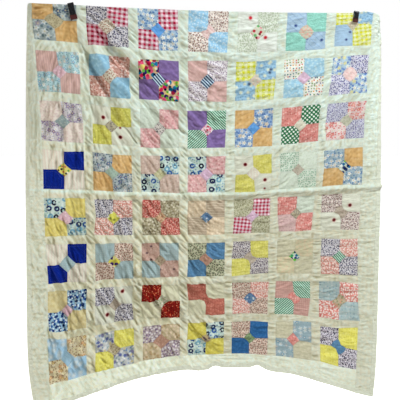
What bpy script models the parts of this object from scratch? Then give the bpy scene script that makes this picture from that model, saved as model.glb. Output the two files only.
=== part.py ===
"""A patchwork quilt hung by its top edge from two spring clips.

Metres, +Z up, the quilt's front facing -Y. The origin is the middle of the quilt's top edge, half way
through its thickness. The quilt is worked out from flat cut coordinates: "across" runs from the middle
of the quilt to its right-hand side, and "down" runs from its top edge to its hem.
"""

import math
from collections import namedtuple

import bmesh
import bpy
import numpy as np
from mathutils import Matrix, Vector

# ---- Flat sizes of the quilt ------------------------------------------------------------------------
BLOCK = 0.178  # a pieced block, and the white strip between two blocks
SASH = 0.042
COLUMNS = 7
ROWS = 8
BORDER = 0.100  # the side borders
THICK = 0.004  # pieced top, thin batting and backing, quilted together
BINDING = 0.022  # how far the folded edge strip reaches in from the edge
BINDING_THICK = 0.001
GAP = 0.0003

PITCH = BLOCK + SASH
FIELD_HALF = (COLUMNS * BLOCK + (COLUMNS - 1) * SASH) / 2
FIELD_DOWN = ROWS * BLOCK + (ROWS - 1) * SASH
HALF_WIDTH = FIELD_HALF + BORDER
OUTER_COLUMN = FIELD_HALF - BLOCK / 2  # the middle of the first and of the last column

# ---- How it hangs -----------------------------------------------------------------------------------
# One row for each level down the quilt: how far the left column, the middle and the right column lie
# below the origin, how wide the field of blocks is spread, and how far each side border is turned back
# behind the quilt, in degrees.
Level = namedtuple("Level", "down left middle right spread turn_left turn_right")
LEVELS = [
    Level(0.000, -0.017, 0.000, -0.002, 1.012, 75, 66),
    Level(0.089, 0.055, 0.089, 0.071, 1.010, 71, 62),
    Level(0.309, 0.272, 0.307, 0.266, 0.998, 56, 48),
    Level(0.529, 0.489, 0.525, 0.478, 0.980, 39, 30),
    Level(0.749, 0.705, 0.730, 0.694, 0.979, 30, 20),
    Level(0.969, 0.924, 0.932, 0.909, 0.975, 20, 10),
    Level(1.189, 1.144, 1.132, 1.128, 0.975, 13, 2),
    Level(1.409, 1.370, 1.327, 1.349, 0.983, 13, 0),
    Level(1.629, 1.614, 1.523, 1.584, 0.992, 20, 0),
    Level(1.718, 1.707, 1.605, 1.678, 0.994, 28, 0),
    Level(1.848, 1.835, 1.735, 1.808, 0.996, 42, 8),
]

# The bottom border is cut unevenly: its width at places across the quilt.
Foot = namedtuple("Foot", "across width")
FEET = [
    Foot(-0.849, 0.134),
    Foot(-0.660, 0.118),
    Foot(-0.500, 0.102),
    Foot(-0.360, 0.087),
    Foot(-0.220, 0.077),
    Foot(-0.100, 0.073),
    Foot(0.020, 0.074),
    Foot(0.050, 0.060),
    Foot(0.080, 0.067),
    Foot(0.160, 0.069),
    Foot(0.222, 0.067),
    Foot(0.262, 0.055),
    Foot(0.300, 0.072),
    Foot(0.440, 0.083),
    Foot(0.580, 0.102),
    Foot(0.660, 0.112),
    Foot(0.760, 0.137),
    Foot(0.849, 0.156),
]
TURN_BEND = 0.030  # the borders turn back over this width
CORNER_DROP = 0.036  # the top right-hand corner hangs free outside its clip
CORNER_HEIGHT = 0.16

# Slow waves in and out over the whole quilt, one row each, in radians to a metre across and down.
Wave = namedtuple("Wave", "height across down phase")
WAVES = [
    Wave(0.0070, 7.0, 2.6, 0.90),
    Wave(0.0070, 7.0, -2.6, 1.70),
    Wave(0.0112, 3.1, 0.0, 1.07),
]
WAVE_START, WAVE_FULL = 0.10, 0.45  # the clips and the taut top edge hold them back

# Soft folds, one row each: from where to where on the flat quilt, how far the line bows to its left,
# the half width of the fold, and its height, minus for a trough.
Fold = namedtuple("Fold", "across0 down0 across1 down1 bow width height")
FOLDS = [
    Fold(-0.575, 0.06, -0.520, 0.66, 0.020, 0.048, -0.014),
    Fold(-0.555, 0.04, -0.300, 0.54, -0.020, 0.046, 0.012),
    Fold(-0.530, 0.06, -0.090, 0.60, -0.030, 0.044, -0.009),
    Fold(-0.520, 0.04, 0.060, 0.36, -0.050, 0.050, 0.008),
    Fold(-0.430, 0.62, -0.300, 1.12, -0.030, 0.055, 0.008),
    Fold(-0.300, 0.56, -0.040, 0.86, -0.030, 0.050, 0.006),
    Fold(0.640, 0.10, 0.220, 0.44, 0.060, 0.050, 0.009),
    Fold(0.620, 0.05, 0.060, 0.26, 0.060, 0.050, -0.007),
    Fold(0.700, 0.16, 0.380, 0.72, 0.050, 0.052, -0.008),
    Fold(-0.640, 0.30, -0.660, 1.00, 0.000, 0.050, 0.008),
    Fold(-0.360, 1.22, 0.300, 1.24, -0.060, 0.055, 0.008),
    Fold(-0.420, 1.46, 0.340, 1.46, -0.070, 0.050, -0.006),
]
FOLD_START = (-0.10, 0.20)  # a fold rises and dies away over these shares of its length
FOLD_END = (0.75, 1.10)
STORAGE_FOLD = 0.858  # the quilt has lain folded in half along this line
STORAGE_LEFT = (-0.75, -0.50)  # where its crease begins to show
STORAGE_WIDTH = 0.014
STORAGE_HEIGHT = 0.0045

# ---- Clips ------------------------------------------------------------------------------------------
# A row for each clip: where it grips along the top edge, how far its tips reach down the cloth, the
# width of its jaws, and how far its top leans to the left, in degrees.
Clip = namedtuple("Clip", "name across reach width lean")
CLIPS = [
    Clip("clip_left", -0.594, 0.062, 0.030, 13),
    Clip("clip_right", 0.663, 0.040, 0.022, -7),
]
JAW_ABOVE = 0.0063  # the jaws begin this far above the cloth's edge, under the spring
CLIP_CALM = 0.075  # the cloth lies flat this near a clip
CLIP_FADE = 0.085
JAW_THICK = 0.0032
TIP_WALL = 0.0018
TIP_LENGTH = 0.019
SPRING_THICK = 0.0014
SPRING_SHARE = 0.62  # the spring band's legs cover this share of the jaws
SPRING_WIDTH = 0.86  # and this share of their width
SPRING_SHOULDER = -0.004  # the level where its legs bend over
SPRING_CROWN = 0.0064  # and how far its middle rises above that
JAW_BOW = 0.0035
JAW_INNER = THICK / 2 + GAP + TIP_WALL + GAP  # from the cloth's middle to a jaw's inner face

# ---- Mesh -------------------------------------------------------------------------------------------
CELLS_ACROSS = 4  # to a block
CELLS_DOWN = 3
STEP = 0.002  # distance over which slopes are measured


def clear_scene():
    for old in list(bpy.data.objects):
        bpy.data.objects.remove(old)


def material(name, colour, roughness, metallic=0.0):
    mat = bpy.data.materials.new(name)
    mat.use_nodes = True
    shader = mat.node_tree.nodes["Principled BSDF"]
    shader.inputs["Base Color"].default_value = (*colour, 1)
    shader.inputs["Roughness"].default_value = roughness
    shader.inputs["Metallic"].default_value = metallic
    return mat


def add_object(name, bm, mat, smooth_angle=40):
    """A closed mesh as one named object, its faces pointing out."""
    bmesh.ops.recalc_face_normals(bm, faces=bm.faces)
    mesh = bpy.data.meshes.new(name)
    bm.to_mesh(mesh)
    bm.free()
    mesh.shade_smooth()
    mesh.set_sharp_from_angle(angle=math.radians(smooth_angle))
    mesh.materials.append(mat)
    made = bpy.data.objects.new(name, mesh)
    bpy.context.scene.collection.objects.link(made)
    return made


# ---- The hanging surface ----------------------------------------------------------------------------
def ramp(x, low, high):
    """0 below low, 1 above high, smooth between."""
    u = np.clip((x - low) / (high - low), 0, 1)
    return u * u * (3 - 2 * u)


def arch(across):
    """1 in the middle of the quilt, 0 at the outer columns, falling half as fast beyond them."""
    out = np.abs(across) / OUTER_COLUMN
    return np.cos(math.pi / 2 * (out - 0.5 * np.maximum(out - 1, 0)))


def column(table, name, at):
    """A column of a table at these places, on a smooth curve through its rows."""
    knots = np.array([row[0] for row in table])
    values = np.array([getattr(row, name) for row in table])
    slopes = np.gradient(values, knots)
    i = np.clip(np.searchsorted(knots, at) - 1, 0, len(knots) - 2)
    span = knots[i + 1] - knots[i]
    u = (at - knots[i]) / span
    return (
        ((2 * u - 3) * u * u + 1) * values[i]
        + (3 - 2 * u) * u * u * values[i + 1]
        + ((u - 2) * u + 1) * u * span * slopes[i]
        + (u - 1) * u * u * span * slopes[i + 1]
    )


def hem(across):
    """How far down the flat quilt its lower edge lies."""
    return FIELD_DOWN + column(FEET, "width", across)


def hang(across, down):
    """The quilt without its folds: a flat point's place in space."""
    left, middle, right = (column(LEVELS, name, down) for name in ("left", "middle", "right"))
    share = across / OUTER_COLUMN
    line = (left + right) / 2 + (right - left) / 2 * share
    drop = line + (middle - (left + right) / 2) * arch(across)

    spread = column(LEVELS, "spread", down)
    beyond = np.maximum(np.abs(across) - FIELD_HALF, 0)
    turned = [column(LEVELS, name, down) for name in ("turn_left", "turn_right")]
    turn = np.radians(np.where(across < 0, *turned))
    radius = TURN_BEND / np.maximum(turn, 0.001)
    bent = np.minimum(beyond, TURN_BEND)
    straight = beyond - bent
    out = radius * np.sin(bent / radius) + straight * np.cos(turn)
    back = radius * (1 - np.cos(bent / radius)) + straight * np.sin(turn)
    x = np.sign(across) * (np.minimum(np.abs(across), FIELD_HALF) * spread + out)

    waves = sum(w.height * np.sin(w.across * across + w.down * down + w.phase) for w in WAVES)
    y = back + waves * ramp(down, WAVE_START, WAVE_FULL)
    free_corner = ramp(across, FIELD_HALF, HALF_WIDTH) * (1 - ramp(down, 0.0, CORNER_HEIGHT))
    return np.stack([x, y, -drop - CORNER_DROP * free_corner], axis=-1)


def fold_height(fold, across, down):
    """Height of one soft fold, which tapers to nothing at its ends."""
    dx, dy = fold.across1 - fold.across0, fold.down1 - fold.down0
    length = math.hypot(dx, dy)
    along = ((across - fold.across0) * dx + (down - fold.down0) * dy) / length**2
    aside = ((across - fold.across0) * dy - (down - fold.down0) * dx) / length
    inside = np.clip(along, 0, 1)
    off = (aside - fold.bow * 4 * inside * (1 - inside)) / fold.width
    ends = ramp(along, *FOLD_START) * (1 - ramp(along, *FOLD_END))
    return fold.height * np.exp(-(off**2)) * ends


def relief(across, down):
    """How far the folds stand out in front of the hanging quilt."""
    height = sum(fold_height(fold, across, down) for fold in FOLDS)
    crease = np.exp(-(((down - STORAGE_FOLD) / STORAGE_WIDTH) ** 2))
    height = height + STORAGE_HEIGHT * crease * ramp(across, *STORAGE_LEFT)
    for clip in CLIPS:
        away = np.hypot(across - clip.across, down - clip.reach / 2)
        height = height * ramp(away, CLIP_CALM, CLIP_CALM + CLIP_FADE)
    return height


def front_normals(place, across, down):
    """Unit normals of a surface, pointing to its front."""
    rightward = place(across + STEP, down) - place(across - STEP, down)
    downward = place(across, down + STEP) - place(across, down - STEP)
    normal = np.cross(downward, rightward)
    return normal / np.linalg.norm(normal, axis=-1, keepdims=True)


def surface(across, down):
    """The quilt's middle surface, folds included."""
    out = relief(across, down)[..., None]
    return hang(across, down) + out * front_normals(hang, across, down)


# ---- The quilt --------------------------------------------------------------------------------------
def cuts_across():
    """Flat lines from side to side: borders, blocks and sashes."""
    outer = [HALF_WIDTH, HALF_WIDTH - BINDING]
    outer += [FIELD_HALF + e for e in (0.050, TURN_BEND, TURN_BEND / 2)]
    cuts = [-x for x in outer]
    for c in range(COLUMNS):
        left = -FIELD_HALF + c * PITCH
        cuts += [left + BLOCK * k / CELLS_ACROSS for k in range(CELLS_ACROSS + 1)]
    return np.array(cuts + outer[::-1])


def cuts_down():
    """Flat lines from the top edge to the foot of the blocks, three of them on the storage fold."""
    cuts = []
    for r in range(ROWS):
        top = r * PITCH
        cuts += [top + BLOCK * k / CELLS_DOWN for k in range(CELLS_DOWN + 1)]
    cuts += [STORAGE_FOLD - STORAGE_WIDTH / 2, STORAGE_FOLD, STORAGE_FOLD + STORAGE_WIDTH]
    return np.array(sorted(cuts))


def flat_grid():
    """Flat coordinates of the quilt's mesh; the last rows follow the uneven bottom border."""
    across = cuts_across()
    down = cuts_down()
    rows = [np.full_like(across, d) for d in down]
    foot = hem(across)
    rows += [(FIELD_DOWN + foot - BINDING) / 2, foot - BINDING, foot]
    down_grid = np.array(rows)
    across_grid = np.broadcast_to(across, down_grid.shape)
    return across_grid, down_grid


def quilt_body(mat):
    """The pieced top, batting and backing as one sheet of even thickness."""
    across, down = flat_grid()
    middle = surface(across, down)
    normal = front_normals(surface, across, down)
    bm = bmesh.new()
    sides = []
    for offset in (THICK / 2, -THICK / 2):
        points = middle + normal * offset
        sides.append([[bm.verts.new(p) for p in row] for row in points])
    rows, cols = across.shape
    for verts, flip in ((sides[0], False), (sides[1], True)):
        for r in range(rows - 1):
            for c in range(cols - 1):
                a, b = verts[r][c], verts[r][c + 1]
                d, e = verts[r + 1][c], verts[r + 1][c + 1]
                for tri in ((a, d, e), (a, e, b)):
                    bm.faces.new(tri[::-1] if flip else tri)
    rim = [(0, c) for c in range(cols)] + [(r, cols - 1) for r in range(1, rows)]
    rim += [(rows - 1, c) for c in range(cols - 2, -1, -1)] + [(r, 0) for r in range(rows - 2, 0, -1)]
    for k, (r, c) in enumerate(rim):
        r2, c2 = rim[(k + 1) % len(rim)]
        front, front2 = sides[0][r][c], sides[0][r2][c2]
        rear, rear2 = sides[1][r][c], sides[1][r2][c2]
        bm.faces.new((front, front2, rear2))
        bm.faces.new((front, rear2, rear))
    return add_object("quilt", bm, mat)


def binding_ring(edge, inner, edge_out, edge_normal, inner_normal):
    """The section of a folded strip round the quilt's edge at one place, as ten points."""
    near = THICK / 2 + GAP
    far = near + BINDING_THICK
    return [
        inner + inner_normal * near,
        inner + inner_normal * far,
        edge + edge_normal * far,
        edge + edge_out * (GAP + BINDING_THICK) + edge_normal * near * 0.6,
        edge + edge_out * (GAP + BINDING_THICK) - edge_normal * near * 0.6,
        edge - edge_normal * far,
        inner - inner_normal * far,
        inner - inner_normal * near,
        edge + edge_out * GAP - edge_normal * near,
        edge + edge_out * GAP + edge_normal * near,
    ]


def binding(name, edge_flat, inner_flat, edge_first, mat):
    """A strip of cloth folded round one edge, given its flat lines along the edge and inside it.

    Its inner faces are split into triangles as the quilt's are, so that the gap stays even: edge_first
    says that the quilt's diagonals run from the edge at one place to the inner line at the next.
    """
    edge = surface(*edge_flat)
    inner = surface(*inner_flat)
    edge_normal = front_normals(surface, *edge_flat)
    inner_normal = front_normals(surface, *inner_flat)
    out = edge - inner
    out -= edge_normal * np.sum(out * edge_normal, axis=-1, keepdims=True)
    out /= np.linalg.norm(out, axis=-1, keepdims=True)
    bm = bmesh.new()
    rings = []
    for k in range(len(edge)):
        points = binding_ring(edge[k], inner[k], out[k], edge_normal[k], inner_normal[k])
        rings.append([bm.verts.new(p) for p in points])
    count = len(rings[0])
    rear_inner_face = 7
    for ring, after in zip(rings, rings[1:]):
        for k in range(count):
            m = (k + 1) % count
            if (k == rear_inner_face) != edge_first:
                triangles = (ring[k], ring[m], after[m]), (ring[k], after[m], after[k])
            else:
                triangles = (ring[k], ring[m], after[k]), (ring[m], after[m], after[k])
            for triangle in triangles:
                bm.faces.new(triangle)
    bm.faces.new(rings[0])
    bm.faces.new(rings[-1][::-1])
    return add_object(name, bm, mat)


def bindings(mat):
    across, down = flat_grid()
    for name, col, inner_col in (("binding_left", 0, 1), ("binding_right", -1, -2)):
        edge = (across[:, col], down[:, col])
        inner = (across[:, inner_col], down[:, inner_col])
        binding(name, edge, inner, col == 0, mat)
    # The bottom strip runs between the two side strips.
    inside = across[-1].copy()
    inside[1] += GAP
    inside[-2] -= GAP
    inside = inside[1:-1]
    binding("binding_bottom", (inside, hem(inside)), (inside, hem(inside) - BINDING), False, mat)


# ---- The clips --------------------------------------------------------------------------------------
def profile_solid(points, width):
    """A closed outline in the clip's side view, as (out, down) pairs, extruded across by width."""
    bm = bmesh.new()
    left = [bm.verts.new((-width / 2, y, -z)) for y, z in points]
    right = [bm.verts.new((width / 2, y, -z)) for y, z in points]
    bm.faces.new(left)
    bm.faces.new(right[::-1])
    for k in range(len(points)):
        m = (k + 1) % len(points)
        bm.faces.new((left[k], right[k], right[m], left[m]))
    return bm


def round_edges(bm, radius, segments=2):
    sharp = [e for e in bm.edges if e.calc_face_angle(0) > math.radians(50)]
    bmesh.ops.bevel(bm, geom=sharp, offset=radius, segments=segments, affect="EDGES", clamp_overlap=True)


def pocket_top(clip):
    """The level where the room for the jaw inside its tip begins, a little above the tip."""
    return clip.reach - TIP_LENGTH - 0.002


def clip_frame(clip):
    """The clip's own axes: its origin is on the cloth's top edge, and its Z axis leans."""
    x, y, z = surface(np.array(clip.across), np.array(0.0))
    lean = Matrix.Rotation(-math.radians(clip.lean), 4, "Y")
    return Matrix.Translation(Vector((x, y, z))) @ lean


def jaw(clip, side):
    """A jaw plate: it bows away from the cloth's edge and runs straight inside its tip."""
    inner = JAW_INNER
    top, low = -JAW_ABOVE, clip.reach - TIP_WALL - GAP
    bow_end = pocket_top(clip)
    steps = 6
    inside = []
    for k in range(steps + 1):
        u = k / steps
        inside.append((inner + JAW_BOW * math.sin(math.pi * u) ** 2, top + (bow_end - top) * u))
    inside.append((inner, low))
    outside = [(out + JAW_THICK, z) for out, z in reversed(inside)]
    points = [(side * out, z) for out, z in inside + outside]
    return profile_solid(points, clip.width - 2 * TIP_WALL - 2 * GAP)


def tip(clip, side):
    """A soft tip drawn over the end of a jaw, open at its top."""
    inner = THICK / 2 + GAP
    outer = inner + 2 * TIP_WALL + 2 * GAP + JAW_THICK
    top, low = clip.reach - TIP_LENGTH, clip.reach
    box = [(side * inner, top), (side * outer, top), (side * outer, low), (side * inner, low)]
    return profile_solid(box, clip.width)


def tip_pocket(clip, side):
    """The room for the jaw inside its tip, with a running gap all round."""
    inner = THICK / 2 + GAP + TIP_WALL
    outer = inner + JAW_THICK + 2 * GAP
    top, low = pocket_top(clip), clip.reach - TIP_WALL
    box = [(side * inner, top), (side * outer, top), (side * outer, low), (side * inner, low)]
    return profile_solid(box, clip.width - 2 * TIP_WALL)


def spring(clip):
    """A bent band of spring steel over the cloth's edge, its legs pressing on both jaws."""
    near = JAW_INNER + JAW_BOW + JAW_THICK + GAP
    far = near + SPRING_THICK
    low = (clip.reach + JAW_ABOVE) * SPRING_SHARE - JAW_ABOVE
    steps = 6
    outside, inside = [(-far, low)], [(-near, low)]
    for k in range(steps + 1):
        angle = math.pi * k / steps
        level = SPRING_SHOULDER - SPRING_CROWN * math.sin(angle)
        outside.append((-far * math.cos(angle), level))
        inside.append((-near * math.cos(angle), level + SPRING_THICK))
    outside.append((far, low))
    inside.append((near, low))
    return profile_solid(outside + inside[::-1], clip.width * SPRING_WIDTH)


def add_clip(clip, jaw_mat, tip_mat, spring_mat):
    place = clip_frame(clip)
    band = spring(clip)
    round_edges(band, 0.0004)
    add_object(clip.name + "_spring", band, spring_mat).matrix_world = place
    for word, side in (("front", -1), ("back", 1)):
        plate = jaw(clip, side)
        round_edges(plate, 0.0009)
        add_object(f"{clip.name}_jaw_{word}", plate, jaw_mat).matrix_world = place
        cover = tip(clip, side)
        round_edges(cover, 0.0012)
        cover = add_object(f"{clip.name}_tip_{word}", cover, tip_mat)
        cutter = add_object(f"{clip.name}_pocket_{word}", tip_pocket(clip, side), tip_mat)
        cutter.hide_render = True
        cutter.display_type = "WIRE"
        for made in (cover, cutter):
            made.matrix_world = place
        cut = cover.modifiers.new("pocket", "BOOLEAN")
        cut.operation = "DIFFERENCE"
        cut.solver = "EXACT"
        cut.object = cutter


def build():
    clear_scene()
    cloth = material("quilt cotton", (0.80, 0.80, 0.71), 0.9)
    edging = material("edge binding", (0.82, 0.82, 0.73), 0.9)
    black = material("black plastic", (0.012, 0.012, 0.013), 0.45)
    red = material("dark red rubber", (0.16, 0.012, 0.010), 0.6)
    steel = material("black spring steel", (0.020, 0.020, 0.022), 0.4, 0.6)
    quilt_body(cloth)
    bindings(edging)
    for clip in CLIPS:
        add_clip(clip, black, red, steel)


build()
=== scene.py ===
"""The looks of a patchwork quilt, bow tie blocks with pale sashing, hung from two spring clips.

The quilt is worked out from flat cut coordinates, in metres: "across" runs from its middle to its
right-hand side and "down" from its top edge to its hem, as in the CAD model, whose hanging shape this
script repeats before it adds seams, puckers and quilting.
"""

import math
from collections import namedtuple

import bpy
import numpy as np
from mathutils import Matrix, Vector


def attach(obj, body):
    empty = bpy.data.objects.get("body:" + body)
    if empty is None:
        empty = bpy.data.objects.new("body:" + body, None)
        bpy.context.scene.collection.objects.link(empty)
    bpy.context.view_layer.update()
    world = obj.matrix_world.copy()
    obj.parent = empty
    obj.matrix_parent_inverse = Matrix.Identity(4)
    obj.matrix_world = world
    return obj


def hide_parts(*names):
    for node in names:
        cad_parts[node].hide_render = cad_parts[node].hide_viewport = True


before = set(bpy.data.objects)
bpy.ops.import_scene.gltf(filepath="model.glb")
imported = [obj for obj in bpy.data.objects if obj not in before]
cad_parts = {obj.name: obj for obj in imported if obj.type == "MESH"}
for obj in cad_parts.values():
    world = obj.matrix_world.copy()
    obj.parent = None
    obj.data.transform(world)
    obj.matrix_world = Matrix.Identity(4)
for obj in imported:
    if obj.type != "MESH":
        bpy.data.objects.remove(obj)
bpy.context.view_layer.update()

# ---- Flat sizes of the quilt, as in the CAD model ---------------------------------------------------
BLOCK = 0.178
SASH = 0.042
COLUMNS = 7
ROWS = 8
BORDER = 0.100
THICK = 0.004
BINDING = 0.022

PITCH = BLOCK + SASH
FIELD_HALF = (COLUMNS * BLOCK + (COLUMNS - 1) * SASH) / 2
FIELD_DOWN = ROWS * BLOCK + (ROWS - 1) * SASH
HALF_WIDTH = FIELD_HALF + BORDER
OUTER_COLUMN = FIELD_HALF - BLOCK / 2

# ---- How it hangs, as in the CAD model but where a comment says otherwise ---------------------------
Level = namedtuple("Level", "down left middle right spread turn_left turn_right")
LEVELS = [
    Level(0.000, -0.017, 0.000, -0.002, 1.012, 75, 66),
    Level(0.089, 0.055, 0.089, 0.071, 1.010, 71, 62),
    Level(0.309, 0.272, 0.307, 0.266, 0.998, 56, 48),
    Level(0.529, 0.489, 0.525, 0.478, 0.980, 39, 30),
    Level(0.749, 0.705, 0.730, 0.694, 0.979, 30, 20),
    Level(0.969, 0.924, 0.932, 0.909, 0.975, 20, 10),
    Level(1.189, 1.144, 1.132, 1.128, 0.975, 13, 2),
    Level(1.409, 1.370, 1.327, 1.349, 0.983, 13, 0),
    Level(1.629, 1.614, 1.523, 1.584, 0.992, 20, 0),
    Level(1.718, 1.707, 1.605, 1.678, 0.994, 28, 0),
    Level(1.848, 1.835, 1.735, 1.808, 0.996, 42, 8),
]
Foot = namedtuple("Foot", "across width")
FEET = [
    Foot(-0.849, 0.134),
    Foot(-0.660, 0.118),
    Foot(-0.500, 0.102),
    Foot(-0.360, 0.087),
    Foot(-0.220, 0.077),
    Foot(-0.100, 0.073),
    Foot(0.020, 0.074),
    Foot(0.050, 0.060),
    Foot(0.080, 0.067),
    Foot(0.160, 0.069),
    Foot(0.222, 0.067),
    Foot(0.262, 0.055),
    Foot(0.300, 0.072),
    Foot(0.440, 0.083),
    Foot(0.580, 0.102),
    Foot(0.660, 0.112),
    Foot(0.760, 0.137),
    Foot(0.849, 0.156),
]
TURN_BEND = 0.030
CORNER_DROP = 0.0600  # more than in the CAD model, as the photo shows
CORNER_HEIGHT = 0.16
Wave = namedtuple("Wave", "height across down phase")
WAVES = [
    Wave(0.0070, 7.0, 2.6, 0.90),
    Wave(0.0070, 7.0, -2.6, 1.70),
    Wave(0.0112, 3.1, 0.0, 1.07),
]
WAVE_START, WAVE_FULL = 0.10, 0.45
Fold = namedtuple("Fold", "across0 down0 across1 down1 bow width height")
FOLDS = [
    Fold(-0.575, 0.06, -0.520, 0.66, 0.020, 0.048, -0.014),
    Fold(-0.555, 0.04, -0.300, 0.54, -0.020, 0.046, 0.012),
    Fold(-0.530, 0.06, -0.090, 0.60, -0.030, 0.044, -0.009),
    Fold(-0.520, 0.04, 0.060, 0.36, -0.050, 0.050, 0.008),
    Fold(-0.430, 0.62, -0.300, 1.12, -0.030, 0.055, 0.008),
    Fold(-0.300, 0.56, -0.040, 0.86, -0.030, 0.050, 0.006),
    Fold(0.640, 0.10, 0.220, 0.44, 0.060, 0.050, 0.009),
    Fold(0.620, 0.05, 0.060, 0.26, 0.060, 0.050, -0.007),
    Fold(0.700, 0.16, 0.380, 0.72, 0.050, 0.052, -0.008),
    Fold(-0.640, 0.30, -0.660, 1.00, 0.000, 0.050, 0.008),
    Fold(-0.360, 1.22, 0.300, 1.24, -0.060, 0.055, 0.008),
    Fold(-0.420, 1.46, 0.340, 1.46, -0.070, 0.050, -0.006),
]
NARROW_FOLDS = [  # these lie in the cloth only, too narrow for the CAD model
    Fold(-0.548, 0.180, -0.425, 0.430, 0.000, 0.019, -0.0145),
    Fold(-0.520, 0.185, -0.385, 0.385, 0.000, 0.018, 0.0080),
    Fold(-0.500, 0.110, -0.300, 0.330, 0.010, 0.020, -0.0060),
    Fold(-0.430, 0.130, -0.180, 0.400, 0.010, 0.018, 0.0060),
    Fold(-0.560, 0.420, -0.440, 0.640, 0.000, 0.018, -0.0060),
    Fold(-0.420, 0.400, -0.300, 0.600, 0.000, 0.017, 0.0070),
    Fold(-0.300, 0.300, -0.120, 0.520, 0.010, 0.018, -0.0060),
    Fold(-0.250, 0.560, -0.150, 0.720, 0.000, 0.016, -0.0050),
    Fold(-0.520, 1.050, -0.380, 1.240, 0.000, 0.016, 0.0050),
    Fold(-0.330, 0.960, -0.200, 1.140, 0.000, 0.016, -0.0060),
    Fold(-0.340, 1.220, -0.180, 1.340, 0.000, 0.016, 0.0050),
    Fold(0.560, 0.330, 0.420, 0.440, 0.000, 0.016, 0.0050),
    Fold(0.700, 0.420, 0.540, 0.560, 0.000, 0.016, -0.0050),
]
FOLD_GAIN, NARROW_FOLD_GAIN = 1.25, 1.35  # the cloth's folds are this many times as high as listed here
BULGE_ACROSS, BULGE_WIDTH, BULGE_HEIGHT = 0.705, 0.030, 0.008  # cloth pushed up beside the right clip
BULGE_DOWN = 0.05
FOLD_START = (-0.10, 0.20)
FOLD_END = (0.75, 1.10)
STORAGE_FOLD = 0.858
STORAGE_LEFT = (-0.75, -0.50)
STORAGE_WIDTH = 0.014
STORAGE_HEIGHT = 0.0045
CREASE_RISE = (-0.019, -0.003)  # a sharper ledge on the storage fold, which the CAD model leaves out
CREASE_FALL = (-0.003, 0.005)
CREASE_LEFT = (-0.62, -0.44)
CREASE_HEIGHT = 0.0112
CREASE_WIDTH = 0.0085
UPRIGHT_CREASE = 0.020  # and a fainter one down the quilt
UPRIGHT_HEIGHT = 0.0048
UPRIGHT_FADE = (0.15, 0.35)
Clip = namedtuple("Clip", "name across reach")
CLIPS = [Clip("clip_left", -0.594, 0.062), Clip("clip_right", 0.663, 0.040)]
CLIP_CALM = 0.075  # no fold reaches nearer to a clip than this
CLIP_FADE = 0.085  # and this much further out the folds have their full height

# ---- Random seeds -----------------------------------------------------------------------------------
SEAM_SEED, KNOT_SEED, PATCH_SEED, BLOCK_SEED = 11, 5, 23, 31

# ---- Mesh -------------------------------------------------------------------------------------------
HALF_CELLS = 22  # mesh cells along half a block
SASH_CELLS = 10
BORDER_CELLS = 26
FOOT_CELLS = 24
KNOT_CELLS = 8  # from a block's middle to a corner of its knot, along the seams
RIM_ANGLES = (90, 60, 30)  # where the mesh has rows on the rolled top edge, in degrees
BACK_ROWS, BACK_COLUMNS = 300, 274

# ---- Patches ----------------------------------------------------------------------------------------
# Eight rows of seven blocks. A block is named by the fabric of its top left and bottom right squares,
# the fabric of the other two, and the fabric of its knot; a fourth is that of its bottom left square,
# and a fifth that of its bottom right one.
BLOCKS = [
    # in the top row's second block, the bottom left square is a copy of red_gingham in painted shade
    "ochre garden sage_sprig | ink_print red_gingham cream_dots deep_gingham | "
    "sky_blossom red_gingham bright_blue | pale_sky brown_dots peach_pink | "
    "red_sprig mint_grey holly | periwinkle mint peach_dots | "
    "yellow_check sky_floral rose_beige periwinkle_spot",
    "dusty_pink blue_floral pink | sky rose_floral cream_dots | carnival violet navy_stripe | "
    "salmon mauve_dots navy_stripe | lemon_check sky_floral pale_beige | "
    "confetti sky_stripe lilac_pink | iris_sky navy_print peach_pink",
    "pale_pink purple_floral grey_teal | berry_sprig lime rose_grey lime berry_below | "
    "white salmon_rose rose_black | violet green_stripe red_floral green_stripe_up | "
    "ochre blossom bright_blue | coral green_dots pale_green | lilac_print coral_floral sage",
    "cream_pink royal_blue leafy | misty_floral ochre aqua | pink_beige rings pale_lime | "
    "rings salmon_rose lilac_pink | berry_sprig yellow cream_pink yellow berry_above | "
    "leaf_dots white beige_pink | misty_blue ochre splash",
    "rings golden pink | ink_print coral_print lemon_cream | red_print olive_print apricot_print | "
    "tan_peach tan_stripe navy_blossom | sage_print fine_gingham lilac_pink | "
    "coral white rose_grey pale_rose | brown_print berry_sprig taupe",
    "cream_pink royal_blue blue_grey | blue_grey brown_calico pansy | dusty_dots blue_grey tan_brown | "
    "green_calico mid_blue terracotta | grey_calico yellow taupe | beige beige_peach splash | "
    "ink_print coral_print green_stripe",
    "straw blue_leaves pink | ink_print berry_sprig taupe | dark_red cream green_floral | "
    "coral_solid cream coral_solid | brown_calico coral_print navy_blossom | "
    "rose_solid green_stripe coral green_stripe_up | steel_blue red_strokes green_tan",
    "bleached_blue gold_floral navy_spot | iris_floral lemon tan_print | "
    "heather beige_gold terracotta | golden_lemon rings pansy_tan | brown_calico cobalt green_print | "
    "beige steel_floral coral | ink_lilac lemon mid_blue",
]

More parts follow.
